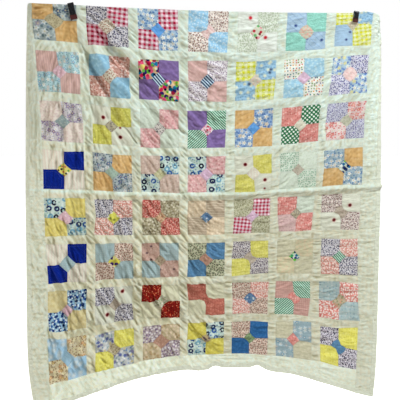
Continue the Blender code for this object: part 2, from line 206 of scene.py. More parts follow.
# Knots that aren't plain, by row and column: their size, and how far their sides reach towards the first
# fabric's squares and towards the second's, as shares of the plain knot.
KNOTS = {
    (1, 1): (1.25, 0.20, 0.00), (1, 2): (1.20, 0.10, 0.10), (1, 4): (1.00, -0.45, 0.25),
    (1, 6): (1.05, 0.30, 0.15), (2, 7): (1.10, 0.30, 0.20), (2, 3): (1.00, 0.10, -0.10),
    (3, 3): (0.95, 0.10, 0.00), (5, 1): (1.05, 0.15, -0.15), (5, 4): (0.92, 0.05, 0.00),
    (5, 6): (0.90, -0.10, 0.00), (5, 7): (1.05, 0.20, -0.30), (6, 1): (1.20, 0.05, 0.00),
    (6, 4): (1.05, 0.20, -0.15), (6, 5): (1.00, 0.30, -0.35), (6, 6): (0.90, 0.00, -0.20),
    (7, 3): (1.10, -0.20, 0.30), (7, 4): (1.00, 0.30, -0.40), (7, 5): (1.00, 0.15, 0.10),
    (7, 6): (1.05, 0.35, -0.30), (7, 7): (1.10, -0.25, 0.20), (8, 2): (1.00, 0.25, -0.25),
    (8, 3): (1.30, 0.00, -0.15), (8, 4): (0.80, 0.20, 0.10), (8, 5): (0.90, 0.10, -0.10),
    (8, 7): (1.10, 0.35, -0.35),
}
KNOT_FADE = 0.95  # a knot's shape bends the block's cloth out to here, in halves of the block

# Crossings of seams that lie well off the even grid. For each seam line from the top down: crossings on
# it, counted from the left, each with how far it is moved right and down, in millimetres.
NUDGES = {
    0: [(1, -12, 0), (2, -14, 0), (20, -6, 0), (21, -6, 0)],
    1: [(1, -12, -8), (2, -9, -8), (3, 0, -8), (4, 0, -6), (19, 0, -25), (20, -9, -31), (21, -10, -31)],
    2: [(1, -8, 0), (2, -4, 0), (19, 0, -8), (20, -6, -8), (21, -10, -8)],
    3: [(1, -10, 0), (2, -8, 0), (19, -4, 0), (20, -10, 0), (21, -16, 0)],
    4: [(1, -10, 0), (19, -6, 0), (20, -4, 0), (21, -12, 0)],
    5: [(1, -10, 0), (19, -8, 7), (20, 2, 7), (21, -6, 7)],
    6: [(1, -10, 0), (19, -9, 4)],
    7: [(1, -10, 0), (19, -9, 3)],
    8: [(1, -10, 0), (19, -6, 0)],
    9: [(1, -10, 0), (19, -10, 0)],
    10: [(1, -10, 0), (13, 8, 8), (14, 6, 8), (15, 3, 8), (17, -6, -4), (19, -10, 0)],
    11: [(1, -10, 0), (2, -6, 0), (13, 8, 4), (14, 12, 5), (19, -8, 0)],
    12: [(1, -10, 0), (7, 4, 0), (8, 4, 0), (9, 4, 0), (14, 10, 0), (16, -5, 0), (19, -13, 0)],
    13: [(1, -10, 0), (7, 4, 0), (8, 4, 0), (9, 4, 0), (14, 4, 0), (16, -8, 0), (18, -6, 0),
        (19, -10, 0)],
    14: [(1, -10, -6), (2, 0, -6), (3, 0, -6), (4, 0, -6), (5, 0, -6), (6, 0, -6), (7, 4, 0), (8, 4, 0),
        (9, 4, 0), (16, 6, 0), (18, -14, 0), (19, -9, 0)],
    15: [(1, -3, -5), (2, 1, -5), (3, 1, -5)],
    16: [(1, -4, 0), (13, -6, 0)],
    17: [(13, -6, 2), (14, -5, 0), (20, 0, 5), (21, 0, 10)],
    18: [(1, 0, -9), (2, 0, -7), (3, 0, -4), (7, 6, 0), (8, 6, 0), (17, -11, 0), (18, -8, 0), (19, -6, 0),
        (20, 5, 0), (21, 9, 0)],
    19: [(5, 6, 0), (8, 6, 4), (9, 6, 2), (10, 4, 0), (11, 4, 0), (12, 4, 0), (16, -9, 0), (18, -8, 0),
        (19, -6, 0), (20, 5, 0), (21, 9, 0)],
    20: [(1, 0, -6), (5, 6, 0), (6, 4, 0), (8, 6, 7), (9, 6, 10), (10, 4, 0), (11, 4, 0), (12, 4, 0),
        (16, -9, 0), (18, -17, 0), (19, -6, 0), (20, 5, 0), (21, 15, 2)],
    21: [(1, -4, -21), (2, -2, -9), (3, 0, -5), (6, 8, 0), (7, 8, 0), (8, 8, 0), (9, 8, 0), (10, 4, 0),
        (11, 4, 0), (12, 4, 0), (17, -3, -12), (18, 0, -14), (19, 5, 0), (20, 5, 0), (21, 8, -8)],
    22: [(1, 0, -12), (2, 0, -10), (3, 0, -4), (6, 8, 0), (7, 8, 0), (8, 8, 0), (9, 8, 0), (10, 4, 0),
        (11, 4, 0), (12, 4, 0), (16, -4, -5), (17, -5, -5), (19, 5, 0), (20, 5, 0), (21, 8, 7)],
    23: [(1, 4, 10), (2, 2, 8), (3, 0, 6), (4, 0, 7), (5, 0, 6), (6, 8, 4), (7, 8, 0), (8, 8, 0),
        (9, 8, 0), (10, 4, 0), (11, 4, 0), (12, 4, 0), (19, 5, 0), (20, 7, 8), (21, 4, 14)],
}
UNEVEN = 0.0018  # how far, as a rule, hand sewing puts a crossing off its place
KNOT_SPREAD = 0.06  # how much the sizes of plain knots differ
LEAN_SPREAD = 0.12  # and how far their sides reach in or out at most
PRINT_TURN = 4.0  # how far, as a rule, a patch's print is turned off its seams, in degrees
PRINT_SHIFT = 3.0  # patches are cut from this far to either side of a fabric's middle
TONE_SPREAD = 0.025  # how much the patches' tones differ, as a rule
MOTIF_SPREAD = 0.012  # how far a lone motif lies off its usual place in its square at most

# ---- Relief of the cloth ----------------------------------------------------------------------------
DIRECTIONS = 12
SEAM_WIDTH = 0.0034
SEAM_DEPTH = 0.0009
PUFF = 0.0007
QUILTING_INSET = 0.010  # the hand quilting runs round inside each patch
QUILTING_WIDTH = 0.0028
QUILTING_DEPTH = 0.0005
CHANNEL = 0.0195  # lines of quilting along the borders lie this far apart
CHANNEL_WIDTH = 0.003
CHANNEL_DEPTH = 0.0007
LADDER = 0.0056  # from one pucker to the next between those lines
PUCKER_CALM = (0.022, 0.05)  # the cloth is smooth this near to a clip, and puckers in full this much further
FINE_SPACING, FINE_HEIGHT = 0.0095, 0.0064  # wrinkles that run over seams
BROAD_SPACING, BROAD_HEIGHT = 0.020, 0.0070
PATCH_HEIGHT = 0.0050  # wrinkles of each patch's own
PATCH_TURN = 0.30  # how far, as a rule, they turn off the way the others run, in radians
PATCH_STRENGTH = (0.55, 1.25)
UPRIGHT_RUNG, UPRIGHT_RUNG_HEIGHT = 0.0062, 0.0062  # puckers across the sashes between the columns
LEVEL_RUNG, LEVEL_RUNG_HEIGHT = 0.0090, 0.0034  # and between the rows
LEFT_SOURCE = (-0.60, 0.02)  # the wrinkles on the left fan out from the left clip
RIGHT_SOURCE = (0.86, -0.05)  # and those on the right from the top right corner
LOW_LEFT_ANGLE, LOW_RIGHT_ANGLE = 49, -5  # how they slant further down, in degrees
HIGHEST_PUCKER = 0.013
FOREMOST = -0.0368  # the cloth hardly comes further forward than this


def ramp(x, low, high):
    """0 below low, 1 above high, smooth between."""
    u = np.clip((x - low) / (high - low), 0, 1)
    return u * u * (3 - 2 * u)


def bell(x, width):
    """1 at 0, falling to 0 on both sides."""
    return np.exp(-((x / width) ** 2))


# ---- The hanging surface, worked out as in the CAD model --------------------------------------------
def arch(across):
    """1 in the middle of the quilt, 0 at the outer columns, falling half as fast beyond them."""
    out = np.abs(across) / OUTER_COLUMN
    return np.cos(math.pi / 2 * (out - 0.5 * np.maximum(out - 1, 0)))


def column(table, name, at):
    """A column of a table at these places, on a smooth curve through its rows."""
    knots = np.array([row[0] for row in table])
    values = np.array([getattr(row, name) for row in table])
    slopes = np.gradient(values, knots)
    i = np.clip(np.searchsorted(knots, at) - 1, 0, len(knots) - 2)
    span = knots[i + 1] - knots[i]
    u = (at - knots[i]) / span
    return (
        ((2 * u - 3) * u * u + 1) * values[i]
        + (3 - 2 * u) * u * u * values[i + 1]
        + ((u - 2) * u + 1) * u * span * slopes[i]
        + (u - 1) * u * u * span * slopes[i + 1]
    )


def hem(across):
    """How far down the flat quilt its lower edge lies."""
    return FIELD_DOWN + column(FEET, "width", across)


def hang(across, down):
    """The quilt without its folds: a flat point's place in space."""
    left, middle, right = (column(LEVELS, name, down) for name in ("left", "middle", "right"))
    share = across / OUTER_COLUMN
    line = (left + right) / 2 + (right - left) / 2 * share
    drop = line + (middle - (left + right) / 2) * arch(across)

    spread = column(LEVELS, "spread", down)
    beyond = np.maximum(np.abs(across) - FIELD_HALF, 0)
    turned = [column(LEVELS, name, down) for name in ("turn_left", "turn_right")]
    turn = np.radians(np.where(across < 0, *turned))
    radius = TURN_BEND / np.maximum(turn, 0.001)
    bent = np.minimum(beyond, TURN_BEND)
    straight = beyond - bent
    out = radius * np.sin(bent / radius) + straight * np.cos(turn)
    back = radius * (1 - np.cos(bent / radius)) + straight * np.sin(turn)
    x = np.sign(across) * (np.minimum(np.abs(across), FIELD_HALF) * spread + out)

    waves = sum(w.height * np.sin(w.across * across + w.down * down + w.phase) for w in WAVES)
    y = back + waves * ramp(down, WAVE_START, WAVE_FULL)
    free_corner = ramp(across, FIELD_HALF, HALF_WIDTH) * (1 - ramp(down, 0.0, CORNER_HEIGHT))
    return np.stack([x, y, -drop - CORNER_DROP * free_corner], axis=-1)


def fold_height(fold, across, down):
    """Height of one soft fold, which tapers to nothing at its ends."""
    dx, dy = fold.across1 - fold.across0, fold.down1 - fold.down0
    length = math.hypot(dx, dy)
    along = ((across - fold.across0) * dx + (down - fold.down0) * dy) / length**2
    aside = ((across - fold.across0) * dy - (down - fold.down0) * dx) / length
    inside = np.clip(along, 0, 1)
    off = (aside - fold.bow * 4 * inside * (1 - inside)) / fold.width
    ends = ramp(along, *FOLD_START) * (1 - ramp(along, *FOLD_END))
    return fold.height * bell(off, 1) * ends


def calm(across, down, near, fade):
    """0 at the clips, 1 away from them."""
    share = 1.0
    for clip in CLIPS:
        away = np.hypot(across - clip.across, down - clip.reach / 2)
        share = share * ramp(away, near, near + fade)
    return share


def relief(across, down):
    """How far the folds stand out in front of the hanging quilt."""
    height = FOLD_GAIN * sum(fold_height(fold, across, down) for fold in FOLDS)
    height = height + NARROW_FOLD_GAIN * sum(fold_height(fold, across, down) for fold in NARROW_FOLDS)
    crease = bell(down - STORAGE_FOLD, STORAGE_WIDTH)
    height = height + STORAGE_HEIGHT * crease * ramp(across, *STORAGE_LEFT)
    below_fold = down - STORAGE_FOLD - 0.003 * noise(across / 0.09, 0 * down, 19)
    ledge = ramp(below_fold, *CREASE_RISE) * (1 - ramp(below_fold, *CREASE_FALL))
    uneven = 0.8 + 0.4 * noise(across / 0.11, 0 * down, 17)
    height = height + CREASE_HEIGHT * ledge * uneven * (0.08 + 0.92 * ramp(across, *CREASE_LEFT))
    upright = bell(across - UPRIGHT_CREASE - 0.010 * np.sin(9 * down), CREASE_WIDTH)
    height = height + UPRIGHT_HEIGHT * upright * ramp(down, *UPRIGHT_FADE)
    return height * calm(across, down, CLIP_CALM, CLIP_FADE)


def grid_normals(points):
    """Unit normals of a grid of points, pointing to the quilt's front."""
    downward = np.gradient(points, axis=0)
    rightward = np.gradient(points, axis=1)
    normal = np.cross(downward, rightward)
    return normal / np.linalg.norm(normal, axis=-1, keepdims=True)


# ---- Noise ------------------------------------------------------------------------------------------
NOISE_SIZE = 512  # the noise starts again after so many heights


def noise(x, y, seed):
    """Smooth random heights from -1 to 1, one for each unit of x and y."""
    size = NOISE_SIZE
    table = np.random.default_rng(seed).uniform(-1, 1, (size, size))
    i, j = np.floor(x).astype(int), np.floor(y).astype(int)
    u, v = x - i, y - j
    u, v = u * u * (3 - 2 * u), v * v * (3 - 2 * v)
    i, j, i2, j2 = i % size, j % size, (i + 1) % size, (j + 1) % size
    low = table[i, j] * (1 - u) + table[i2, j] * u
    high = table[i, j2] * (1 - u) + table[i2, j2] * u
    return low * (1 - v) + high * v


def streaks(across, down, angle, spacing, length, seed):
    """Long soft wrinkles along an angle, which may differ from place to place."""
    total, power = 0.0, 0.0
    close = 0.86  # only the directions near the angle count
    for k in range(DIRECTIONS):
        turn = math.pi * k / DIRECTIONS
        share = np.maximum(np.cos(angle - turn) ** 2 - close, 0) / (1 - close)
        along = across * math.cos(turn) + down * math.sin(turn)
        aside = down * math.cos(turn) - across * math.sin(turn)
        total = total + share * noise(along / length, aside / spacing, seed + k)
        power = power + share**2
    return total / np.sqrt(power)


def pinched(height):
    """Wrinkles with round tops and sharper valleys."""
    return 0.6 * height + 0.7 * np.abs(height) - 0.25


# ---- The flat grid ----------------------------------------------------------------------------------
def strip_places(cells):
    """The places of the mesh lines along a row of strips, counted in strips."""
    places = [k + np.arange(n) / n for k, n in enumerate(cells)]
    return np.append(np.concatenate(places), len(cells))


def between(values, places, axis):
    """Values on whole numbers, read at any places in between."""
    i = np.minimum(places.astype(int), values.shape[axis] - 2)
    share = places - i
    share = share.reshape([-1 if k == axis else 1 for k in range(values.ndim)])
    return np.take(values, i, axis) * (1 - share) + np.take(values, i + 1, axis) * share


def seam_lines(count):
    """Where the seams between patches run, from the first block's edge on."""
    return [k * PITCH + part * BLOCK / 2 for k in range(count) for part in range(3)]


BLOCK_STRIPS = [HALF_CELLS, HALF_CELLS, SASH_CELLS]
ACROSS_CELLS = [BORDER_CELLS] + (BLOCK_STRIPS * COLUMNS)[:-1] + [BORDER_CELLS]
DOWN_CELLS = (BLOCK_STRIPS * ROWS)[:-1] + [FOOT_CELLS]
ACROSS_PLACES = strip_places(ACROSS_CELLS)
DOWN_PLACES = strip_places(DOWN_CELLS)
ACROSS_LINES = np.array([-HALF_WIDTH] + [x - FIELD_HALF for x in seam_lines(COLUMNS)] + [HALF_WIDTH])
DOWN_LINES = np.array(seam_lines(ROWS) + [FIELD_DOWN + BORDER])


def uneven_grid():
    """How far the crossings of the seams lie off their even places, across and down."""
    rng = np.random.default_rng(SEAM_SEED)
    shape = (len(DOWN_LINES), len(ACROSS_LINES))
    across, down = rng.normal(0, UNEVEN, (2, *shape))
    for line_down, crossings in NUDGES.items():
        for line_across, right, lower in crossings:
            across[line_down, line_across] += right / 1000
            down[line_down, line_across] += lower / 1000
    across[:, [0, -1]] = 0
    down[[0, -1], :] = 0
    return across, down


def block_place():
    """Each mesh line's place in its block, from -1 to 1 inside it, and the block's column and row."""
    x = ACROSS_PLACES - 2
    y = DOWN_PLACES - 1
    column_number = np.clip(np.round(x / 3), 0, COLUMNS - 1).astype(int)
    row_number = np.clip(np.round(y / 3), 0, ROWS - 1).astype(int)
    return x - 3 * column_number, y - 3 * row_number, column_number, row_number


def shape_knots(across, down):
    """Bends the cloth of each block so that its knot gets its own shape."""
    u, v, columns, rows = block_place()
    u, v = np.meshgrid(u, v)
    rng = np.random.default_rng(KNOT_SEED)
    size = rng.normal(1.0, KNOT_SPREAD, (ROWS, COLUMNS))
    first = rng.uniform(-LEAN_SPREAD, LEAN_SPREAD, (ROWS, COLUMNS))
    second = rng.uniform(-LEAN_SPREAD, LEAN_SPREAD, (ROWS, COLUMNS))
    for (row, column_number), shape in KNOTS.items():
        at = row - 1, column_number - 1
        size[at], first[at], second[at] = shape
    pick = np.ix_(rows, columns)
    away = np.abs(u) + np.abs(v)
    lean = 2 * u * v / np.maximum(u * u + v * v, 1e-9)
    reach = size[pick] * (1 + first[pick] * np.maximum(lean, 0) + second[pick] * np.maximum(-lean, 0))
    edge = KNOT_CELLS / HALF_CELLS
    outer = reach * edge + (away - edge) * (KNOT_FADE - reach * edge) / (KNOT_FADE - edge)
    new = np.where(away < edge, reach * away, outer)
    grow = np.where(away < KNOT_FADE, new / np.maximum(away, 1e-9), 1.0) - 1
    across += u * grow * BLOCK / 2
    down += v * grow * BLOCK / 2


def seam_distance(across, down):
    """Flat distance from each mesh point to the nearest seam, on the even grid, and whether it lies in
    a block."""
    x, y = across + FIELD_HALF, down
    cx, cy = np.mod(x, PITCH), np.mod(y, PITCH)
    edge_x = np.minimum(np.abs(cx - BLOCK), np.minimum(cx, PITCH - cx))
    edge_y = np.minimum(np.abs(cy - BLOCK), np.minimum(cy, PITCH - cy))
    mid_x, mid_y = np.abs(cx - BLOCK / 2), np.abs(cy - BLOCK / 2)
    knot_side = (mid_x + mid_y - BLOCK / 2 * KNOT_CELLS / HALF_CELLS) / math.sqrt(2)
    in_block = (cx <= BLOCK) & (cy <= BLOCK)
    patch = np.minimum.reduce([edge_x, edge_y, mid_x, mid_y, np.abs(knot_side)])
    patch = np.where(knot_side < 0, -knot_side, patch)
    sash = np.where(cy > BLOCK, edge_y, np.minimum(edge_x, edge_y))
    inside = np.where(in_block, patch, sash)
    beyond = np.maximum(np.abs(across) - FIELD_HALF, down - FIELD_DOWN)
    foot = np.where(down > FIELD_DOWN, down - FIELD_DOWN, 1.0)
    side = np.where(np.abs(across) > FIELD_HALF, np.abs(across) - FIELD_HALF, 1.0)
    return np.where(beyond > 0, np.minimum(foot, side), inside), in_block & (beyond <= 0)


# ---- Puckers ----------------------------------------------------------------------------------------
# Lengths and heights are in metres here too, angles in radians, and each noise ends with its seed.
def leftness(across):
    """1 on the left, where the wrinkles run down to the right, and 0 on the right."""
    return 1 - ramp(across, -0.12, 0.22)


def pull_angle(across, down):
    """The way the wrinkles run: down and to the right on the left, up to the right on the right,
    and nearly level low down on the right."""
    left = leftness(across)
    low = ramp(down, 0.62, 1.05)
    slanted = np.maximum(ramp(across, -0.58, -0.42), ramp(down, 0.80, 1.05)) * 0.55
    from_left = np.arctan2(down - LEFT_SOURCE[1], across - LEFT_SOURCE[0])
    from_right = np.arctan2(0.70 * (down - RIGHT_SOURCE[1]), across - RIGHT_SOURCE[0])
    shares = [
        (from_left, left * (1 - slanted)),
        (math.radians(LOW_LEFT_ANGLE), left * slanted),
        (from_right, (1 - left) * (1 - low)),
        (math.radians(LOW_RIGHT_ANGLE), (1 - left) * low),
    ]
    x = sum(share * np.cos(2 * angle) for angle, share in shares)
    y = sum(share * np.sin(2 * angle) for angle, share in shares)
    return np.arctan2(y, x) / 2


def local_strength(across, down):
    """The wrinkles are fainter in the top row's middle, and stronger low on the left."""
    top = (1 - ramp(down, 0.18, 0.32)) * ramp(across, -0.38, -0.20)
    low = leftness(across) * ramp(down, 0.85, 1.00)
    return 1 - 0.30 * top + 0.50 * low


def edge_distance(across, down):
    """Flat distance to the quilt's outer edge, at its sides and hem."""
    return HALF_WIDTH - np.abs(across), hem(across) - down


def border_puckers(across, down):
    """Puckers between the lines of quilting in the side borders."""
    side, _ = edge_distance(across, down)
    channel = side / CHANNEL
    number = np.floor(channel)
    window = np.sin(math.pi * (channel - number)) ** 0.7
    rungs = noise(number * 7.3 + np.sign(across) * 40, down / LADDER, 191)
    fans = noise(side / 0.07, down / 0.0085, 211)
    right = 0.0030 * rungs * window + 0.0018 * fans
    upright = noise(side / 0.0085, down / 0.10, 213) * (1 - ramp(down, 0.75, 0.95))
    left = (0.0032 * rungs * window + 0.0018 * fans) * ramp(down, 0.55, 0.90) + 0.0034 * upright
    return np.where(across > 0, right, left)


def open_wrinkles(across, down):
    """Wrinkles that run over seams and into the borders."""
    # Their strength: more on the left, less at the right clip and along the hem.
    angle = pull_angle(across, down)
    strength = 0.75 + 0.40 * noise(across / 0.16, down / 0.16, 71)
    strength = strength * (0.78 + 0.62 * leftness(across)) * (1 - 0.15 * ramp(across, 0.55, 0.70))
    strength = strength * (1 - 0.60 * ramp(down, 1.68, 1.74)) * local_strength(across, down)
    fine = pinched(streaks(across, down, angle, FINE_SPACING, 0.060, 101))
    broad = pinched(streaks(across, down, angle, BROAD_SPACING, 0.14, 131))
    crumple = noise(across / 0.012, down / 0.012, 161)
    height = strength * (FINE_HEIGHT * fine + BROAD_HEIGHT * broad) + 0.0009 * crumple

    # The side borders have mostly puckers of their own, and the bottom border some.
    in_border = ramp(np.abs(across), FIELD_HALF, FIELD_HALF + 0.012)
    height = height * (1 - np.where(across > 0, 0.60, 0.85) * in_border)
    height = height + in_border * border_puckers(across, down)
    side, foot = edge_distance(across, down)
    low = ramp(-foot, -0.085, -0.070) * (1 - in_border)
    foot_channel = foot / CHANNEL
    foot_window = np.sin(math.pi * (foot_channel - np.floor(foot_channel)))
    foot_rungs = noise(np.floor(foot_channel) * 5.1, across / 0.008, 223)
    height = height + 0.0010 * low * foot_rungs * foot_window

    # They get lower towards the bound edges, most of all on the left.
    smooth_edge = np.where(across > 0, 0.8, 0.25)
    height = height * (smooth_edge + (1 - smooth_edge) * ramp(side, 0.002, 0.022))
    return height * calm(across, down, *PUCKER_CALM)


def ladders(across, down):
    """Short puckers across the sashes, between the blocks, leaning on the left as the wrinkles do."""
    x, y = across + FIELD_HALF, down
    cx, cy = np.mod(x, PITCH) - BLOCK, np.mod(y, PITCH) - BLOCK
    inside = (np.abs(across) < FIELD_HALF) & (down < FIELD_DOWN)
    upright = np.sin(math.pi * np.clip(cx / SASH, 0, 1)) ** 0.6 * inside
    level = np.sin(math.pi * np.clip(cy / SASH, 0, 1)) ** 0.6 * inside
    lean = leftness(across) - 0.25 * (1 - leftness(across)) * (1 - ramp(down, 0.5, 1.0))
    upright_rungs = noise(np.floor(x / PITCH) * 9.1, (down - 0.9 * lean * cx) / UPRIGHT_RUNG, 241)
    level_rungs = noise((across - 0.7 * lean * cy) / LEVEL_RUNG, np.floor(y / PITCH) * 9.1, 251)
    strength = (0.7 + 0.4 * noise(across / 0.2, down / 0.2, 261)) * (1 + 0.25 * leftness(across))
    strength = strength * local_strength(across, down)
    upright_height = UPRIGHT_RUNG_HEIGHT - 0.0008 * leftness(across)
    return strength * (upright_height * upright * upright_rungs + LEVEL_RUNG_HEIGHT * level * level_rungs)


def patch_wrinkles(across, down, seam):
    """Each patch puckers in its own way inside its seams."""
    rng = np.random.default_rng(PATCH_SEED)
    shape = (len(DOWN_CELLS), len(ACROSS_CELLS))
    turn = rng.normal(0, PATCH_TURN, shape)
    strength = rng.uniform(*PATCH_STRENGTH, shape)
    row = np.minimum(DOWN_PLACES.astype(int), len(DOWN_CELLS) - 1)
    col = np.minimum(ACROSS_PLACES.astype(int), len(ACROSS_CELLS) - 1)
    pick = np.ix_(row, col)
    angle = pull_angle(across, down) + turn[pick]
    own = pinched(streaks(across, down, angle, FINE_SPACING, 0.050, 301))
    return (PATCH_HEIGHT + 0.0016 * leftness(across)) * own * strength[pick] * ramp(seam, 0.0, 0.014)


def quilt_grid():
    """The quilt's mesh: flat places, distance to the seams, middle surface, normals, puckers and half
    the thickness."""
    across, down = np.meshgrid(
        between(ACROSS_LINES, ACROSS_PLACES, 0), between(DOWN_LINES, DOWN_PLACES, 0)
    )
    seam, in_block = seam_distance(across, down)
    shift_across, shift_down = uneven_grid()
    for shift, flat in ((shift_across, across), (shift_down, down)):
        flat += between(between(shift, DOWN_PLACES, 0), ACROSS_PLACES, 1)
    shape_knots(across, down)
    foot = DOWN_PLACES >= len(DOWN_CELLS) - 1
    share = (DOWN_PLACES[foot] - (len(DOWN_CELLS) - 1))[:, None]
    top = down[np.argmax(foot)]
    down[foot] = top + share * (hem(across[foot]) - top)

    hung = hang(across, down)
    hung[..., 2] += BULGE_HEIGHT * bell(across - BULGE_ACROSS, BULGE_WIDTH) * bell(down, BULGE_DOWN)
    middle = hung + relief(across, down)[..., None] * grid_normals(hung)
    normal = grid_normals(middle)
    pucker = open_wrinkles(across, down)
    near_clip = calm(across, down, *PUCKER_CALM)
    side, foot_edge = edge_distance(across, down)
    off_edge = ramp(np.minimum(side, foot_edge), 0.002, 0.036)
    pucker += (ladders(across, down) + patch_wrinkles(across, down, seam) * off_edge) * near_clip
    pucker = np.where(pucker > 0, HIGHEST_PUCKER * np.tanh(pucker / HIGHEST_PUCKER), pucker)
    puff = PUFF * ramp(seam, 0.002, 0.016) - SEAM_DEPTH * bell(seam, SEAM_WIDTH)
    puff -= QUILTING_DEPTH * bell(seam - QUILTING_INSET, QUILTING_WIDTH) * in_block
    for edge in (side, foot_edge):
        line = edge / CHANNEL
        off = (line - np.round(line)) * CHANNEL
        puff -= CHANNEL_DEPTH * bell(off, CHANNEL_WIDTH) * (edge < BORDER - 0.012) * (np.round(line) > 0)
    half = THICK / 2 + puff * near_clip
    return across, down, seam, middle, normal, pucker, half


across_grid, down_grid, seam_grid, middle_grid, normal_grid, pucker_grid, half_grid = quilt_grid()
front_grid = middle_grid + (pucker_grid + half_grid)[..., None] * normal_grid
back_grid = middle_grid + (pucker_grid - half_grid)[..., None] * normal_grid

# Nothing comes much further forward than FOREMOST: what lies beyond it is moved back, softly.
too_far = np.maximum(FOREMOST - front_grid[..., 1], 0)
held_back = too_far - 0.001 * (1 - np.exp(-too_far / 0.001))
for grid in (front_grid, back_grid, middle_grid):
    grid[..., 1] += held_back

# ---- Colours, as bytes of red, green and blue -------------------------------------------------------
def linear(colour):
    """A colour in bytes as the shaders' linear red, green, blue and alpha."""
    parts = [c / 255 for c in colour]
    return (*[c / 12.92 if c <= 0.04045 else ((c + 0.055) / 1.055) ** 2.4 for c in parts], 1.0)


# ---- Shader nodes -----------------------------------------------------------------------------------
def fill(tree, made, inputs):
    """Sets a node's inputs to values or joins them to other nodes' outputs."""
    for key, value in inputs.items():
        if isinstance(value, bpy.types.NodeSocket):
            tree.links.new(value, made.inputs[key])
        else:
            made.inputs[key].default_value = value


def node(tree, kind, inputs, **settings):
    """A new node with its settings and inputs."""
    made = tree.nodes.new("ShaderNode" + kind)
    for key, value in settings.items():
        setattr(made, key, value)
    fill(tree, made, inputs)
    return made


def maths(tree, operation, first, second=0.0, third=0.0):
    return node(tree, "Math", {0: first, 1: second, 2: third}, operation=operation).outputs[0]


def attribute(tree, name):
    return node(tree, "Attribute", {}, attribute_name=name).outputs["Fac"]


def cloud(tree, place, scale, detail, flat=True):
    """Soft random values from 0 to 1, over flat places or through space."""
    inputs = {"Vector": place, "Scale": scale, "Detail": detail}
    return node(tree, "TexNoise", inputs, noise_dimensions="2D" if flat else "3D").outputs[0]


def multiplied(tree, colour, tint):
    return node(tree, "VectorMath", {0: colour, 1: tint}, operation="MULTIPLY").outputs[0]


def mix(tree, share, under, over):
    """One colour painted over another; both are colours in bytes or outputs."""
    under, over = (c if isinstance(c, bpy.types.NodeSocket) else linear(c) for c in (under, over))
    return node(tree, "Mix", {0: share, 6: under, 7: over}, data_type="RGBA").outputs[2]


def below(tree, value, edge, soft):
    """1 where a value is below the edge, 0 above it, with a soft step."""
    inputs = {"Value": value, "From Min": edge - soft, "From Max": edge + soft, "To Min": 1.0, "To Max": 0.0}
    return node(tree, "MapRange", inputs).outputs[0]


def repeats(tree, flat, size, turn=0.0, shift=0.0):
    """Flat coordinates in metres, counted in repeats of a print."""
    scale = (1 / size,) * 3
    inputs = {"Vector": flat, "Location": (shift, shift * 0.7, 0), "Scale": scale}
    inputs["Rotation"] = (0, 0, math.radians(turn))
    return node(tree, "Mapping", inputs).outputs[0]


def cells(tree, place, scatter):
    inputs = {"Vector": place, "Scale": 1.0, "Randomness": scatter}
    return node(tree, "TexVoronoi", inputs, voronoi_dimensions="2D")


def palette(tree, cell_colour, colours):
    """One of a few colours for each cell of a print."""
    if len(colours) == 1:
        return colours[0]
    number = node(tree, "SeparateColor", {0: cell_colour}).outputs[0]
    ramp_node = node(tree, "ValToRGB", {0: number})
    ramp_node.color_ramp.interpolation = "CONSTANT"
    elements = ramp_node.color_ramp.elements
    while len(elements) < len(colours):
        elements.new(0.5)
    for k, colour in enumerate(colours):
        elements[k].position = k / len(colours)
        elements[k].color = linear(colour)
    return ramp_node.outputs[0]


# ---- Prints -----------------------------------------------------------------------------------------
def print_layer(draw):
    """Lets a print's settings be given now and the cloth it is painted on later.

    The cloth is a node tree, the output with the flat places and the colour below."""

    def with_settings(*args, **settings):
        return lambda tree, flat, under: draw(tree, flat, under, *args, **settings)

    return with_settings


@print_layer
def spots(tree, flat, under, size, *colours, radius=0.3, scatter=1.0, turn=0, shift=0.0, soft=0.06):
    """Round spots, one for each cell."""
    made = cells(tree, repeats(tree, flat, size, turn, shift), scatter)
    mask = below(tree, made.outputs["Distance"], radius, soft)
    return mix(tree, mask, under, palette(tree, made.outputs["Color"], colours))


@print_layer
def rings(tree, flat, under, size, *colours, radius, line):
    """Round rings, one for each cell."""
    made = cells(tree, repeats(tree, flat, size), 0.5)
    off = maths(tree, "ABSOLUTE", maths(tree, "SUBTRACT", made.outputs["Distance"], radius))
    mask = below(tree, off, line, 0.03)
    return mix(tree, mask, under, palette(tree, made.outputs["Color"], colours))


@print_layer
def flowers(tree, flat, under, size, *colours, centre, radius=0.40):
    """Flowers with five round petals, one for each cell."""
    place = repeats(tree, flat, size)
    made = cells(tree, place, 0.7)
    arm = node(tree, "VectorMath", {0: place, 1: made.outputs["Position"]}, operation="SUBTRACT")
    parts = node(tree, "SeparateXYZ", {0: arm.outputs[0]})
    angle = maths(tree, "ARCTAN2", parts.outputs[1], parts.outputs[0])
    lobe = maths(tree, "COSINE", maths(tree, "MULTIPLY", angle, 5.0))
    reach = maths(tree, "MULTIPLY", lobe, radius * 0.24)
    distance = maths(tree, "SUBTRACT", made.outputs["Distance"], reach)
    petal = below(tree, distance, radius * 0.8, 0.04)
    painted = mix(tree, petal, under, palette(tree, made.outputs["Color"], colours))
    heart = below(tree, made.outputs["Distance"], radius * 0.28, 0.04)
    return mix(tree, heart, painted, centre)


@print_layer
def stripes(tree, flat, under, size, colour, share=0.5, turn=0, soft=0.08):
    """Even stripes."""
    parts = node(tree, "SeparateXYZ", {0: repeats(tree, flat, size, turn)})
    wave = maths(tree, "PINGPONG", parts.outputs[0], 0.5)
    return mix(tree, below(tree, wave, share / 2, soft / 2), under, colour)


@print_layer
def checks(tree, flat, under, size, colour):
    """Gingham: stripes both ways, darker where they cross."""
    parts = node(tree, "SeparateXYZ", {0: repeats(tree, flat, size)})
    waves = [maths(tree, "PINGPONG", parts.outputs[k], 0.5) for k in (0, 1)]
    bars = [below(tree, wave, 0.25, 0.03) for wave in waves]
    share = maths(tree, "POWER", maths(tree, "MULTIPLY", maths(tree, "ADD", *bars), 0.5), 0.85)
    return mix(tree, share, under, colour)


